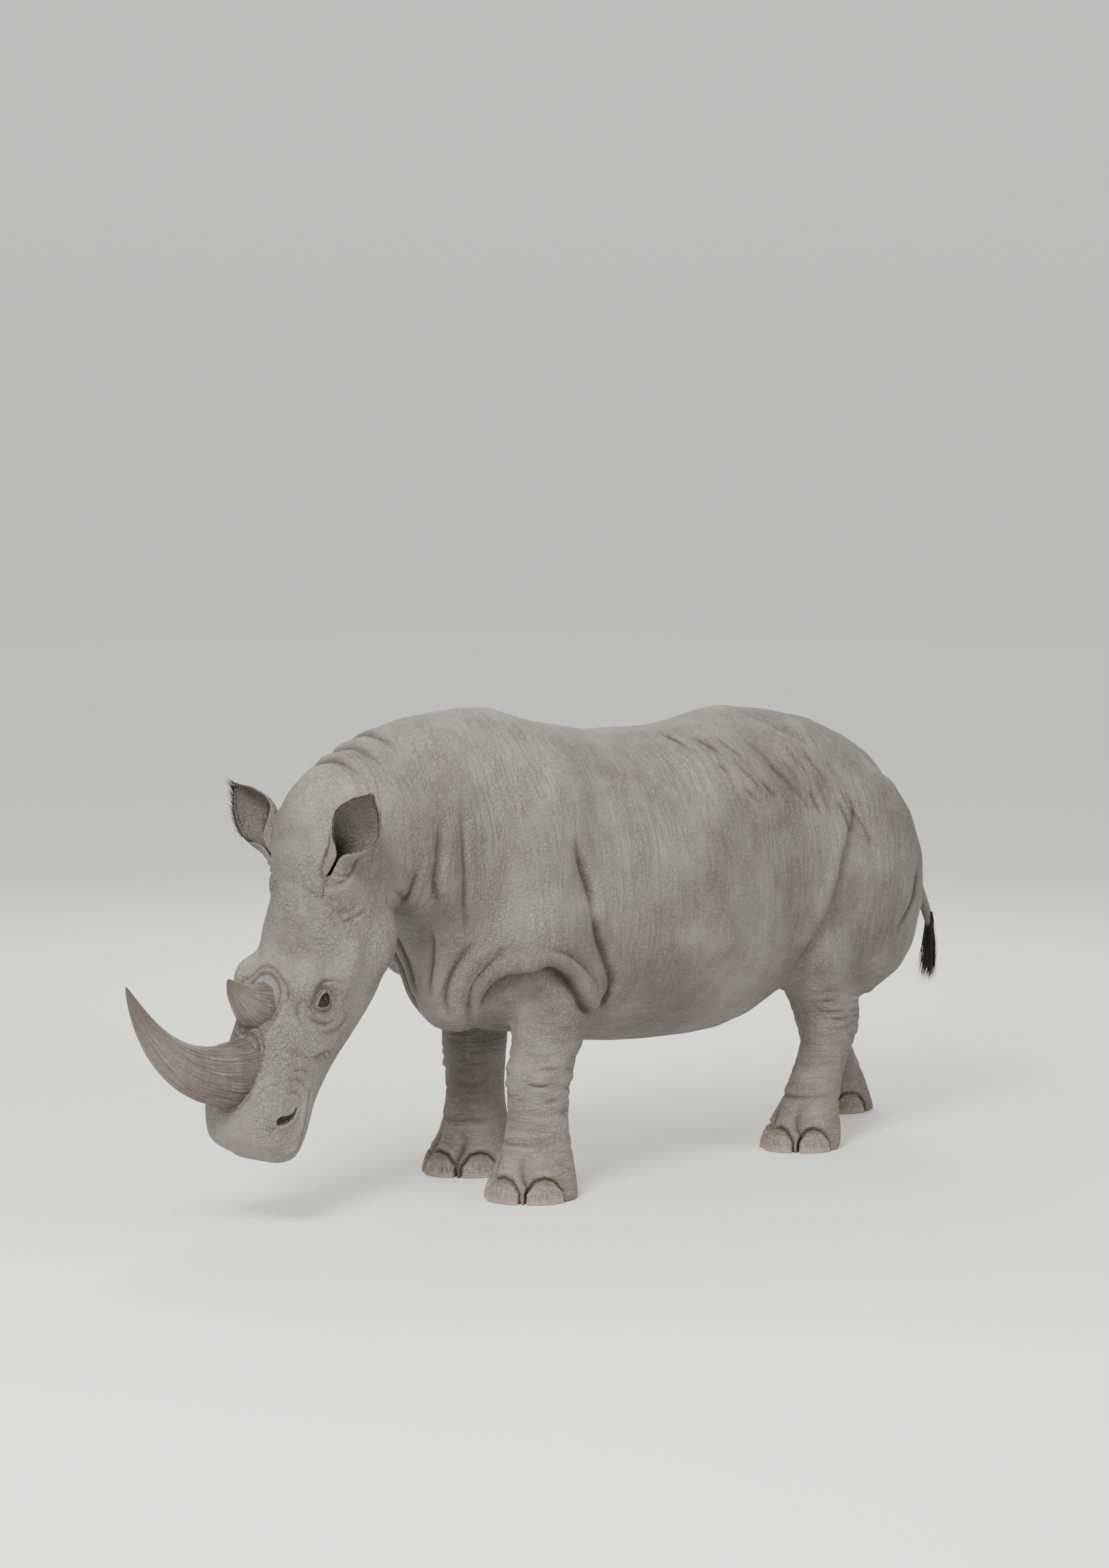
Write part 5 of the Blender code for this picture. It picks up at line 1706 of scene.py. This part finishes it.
print("toenail finish:", len(tree.nodes), "nodes")

# %% [markdown]
# ## Eye and hair
#
# The eye is almost black: a round pupil in a very dark brown iris with faint spokes, and a wet
# coat over all of it. The white shows only as a brown rim. Hair is black brown, and browner at
# the tips where the sun has bleached it.

# %% Paint the eyes
IRIS_DARK, IRIS_LIGHT = (0.004, 0.0025, 0.002), (0.021, 0.011, 0.006)
PUPIL, IRIS_RIM, WHITE = (0.002, 0.002, 0.002), (0.006, 0.004, 0.003), (0.060, 0.035, 0.024)
eye_finish, tree, shader = new_material(
    "eye", Roughness=0.35, Specular_IOR_Level=0.05, Coat_Weight=0.5, Coat_Roughness=0.03,
)
from_pole = attribute(tree, "from_pole")["Fac"]
place = add(tree, "TexCoord").outputs["Object"]
spokes = add(tree, "TexNoise", Vector=place, Scale=330.0, Detail=4.0)
iris = blend(tree, spread(tree, spokes.outputs[0], 0.35, 0.65), IRIS_DARK, IRIS_LIGHT)
colour = blend(tree, spread(tree, from_pole, 0.27, 0.34), PUPIL, iris)
colour = blend(tree, spread(tree, from_pole, 0.58, 0.72), colour, IRIS_RIM)
colour = blend(tree, spread(tree, from_pole, 0.92, 1.10), colour, WHITE)
feed(tree, shader["Base Color"], colour)
print("eye finish:", len(tree.nodes), "nodes")

# %% Paint the hair
HAIR_DARK, HAIR_LIGHT = (0.010, 0.008, 0.007), (0.045, 0.034, 0.026)
BLEACHED = (0.105, 0.078, 0.052)
hair_finish, tree, shader = new_material("hair", Roughness=0.55, Specular_IOR_Level=0.35)
tip = attribute(tree, "tip")["Fac"]
place = add(tree, "TexCoord").outputs["Object"]
strand = use(tree, fibres, Vector=place, Stretch=(300.0, 300.0, 30.0), Detail=2.0)
colour = blend(tree, spread(tree, strand["Value"], 0.3, 0.7), HAIR_DARK, HAIR_LIGHT)
colour = blend(tree, calculate(tree, "MULTIPLY", tip, 0.40), colour, BLEACHED)
feed(tree, shader["Base Color"], colour)
print("hair finish:", len(tree.nodes), "nodes")

# %% [markdown]
# ## Dress the model
#
# Each piece gets its finish, rides on the one body of the model, and the solids it stands for
# are hidden.

# %% Put the pieces in place
def dress(piece, finish, slot, *nodes):
    """Gives a piece its one finish, puts it on the root body, and hides the solids it stands for.

    slot is not used.
    """
    piece.data.materials.clear()
    piece.data.materials.append(finish)
    for face in piece.data.polygons:
        face.material_index = 0
    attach(piece, "root")
    if nodes:
        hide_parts(*nodes)


dress(hide, hide_finish, "hide", *FLESH, "left_ear", "right_ear", "tail")
for name, horn in horns.items():
    dress(horn, horn_finish, "horn", name)
for node, nail in zip(NAILS, nails):
    dress(nail, nail_finish, "toenail", node)
for which in SIDES:
    dress(eyeballs[which], eye_finish, "eye", which + "_eye")
    dress(eye_lashes[which], hair_finish, "tail_hair")
    dress(ear_hair[which], hair_finish, "tail_hair")
dress(tail_hair, hair_finish, "tail_hair", "tail_tuft")
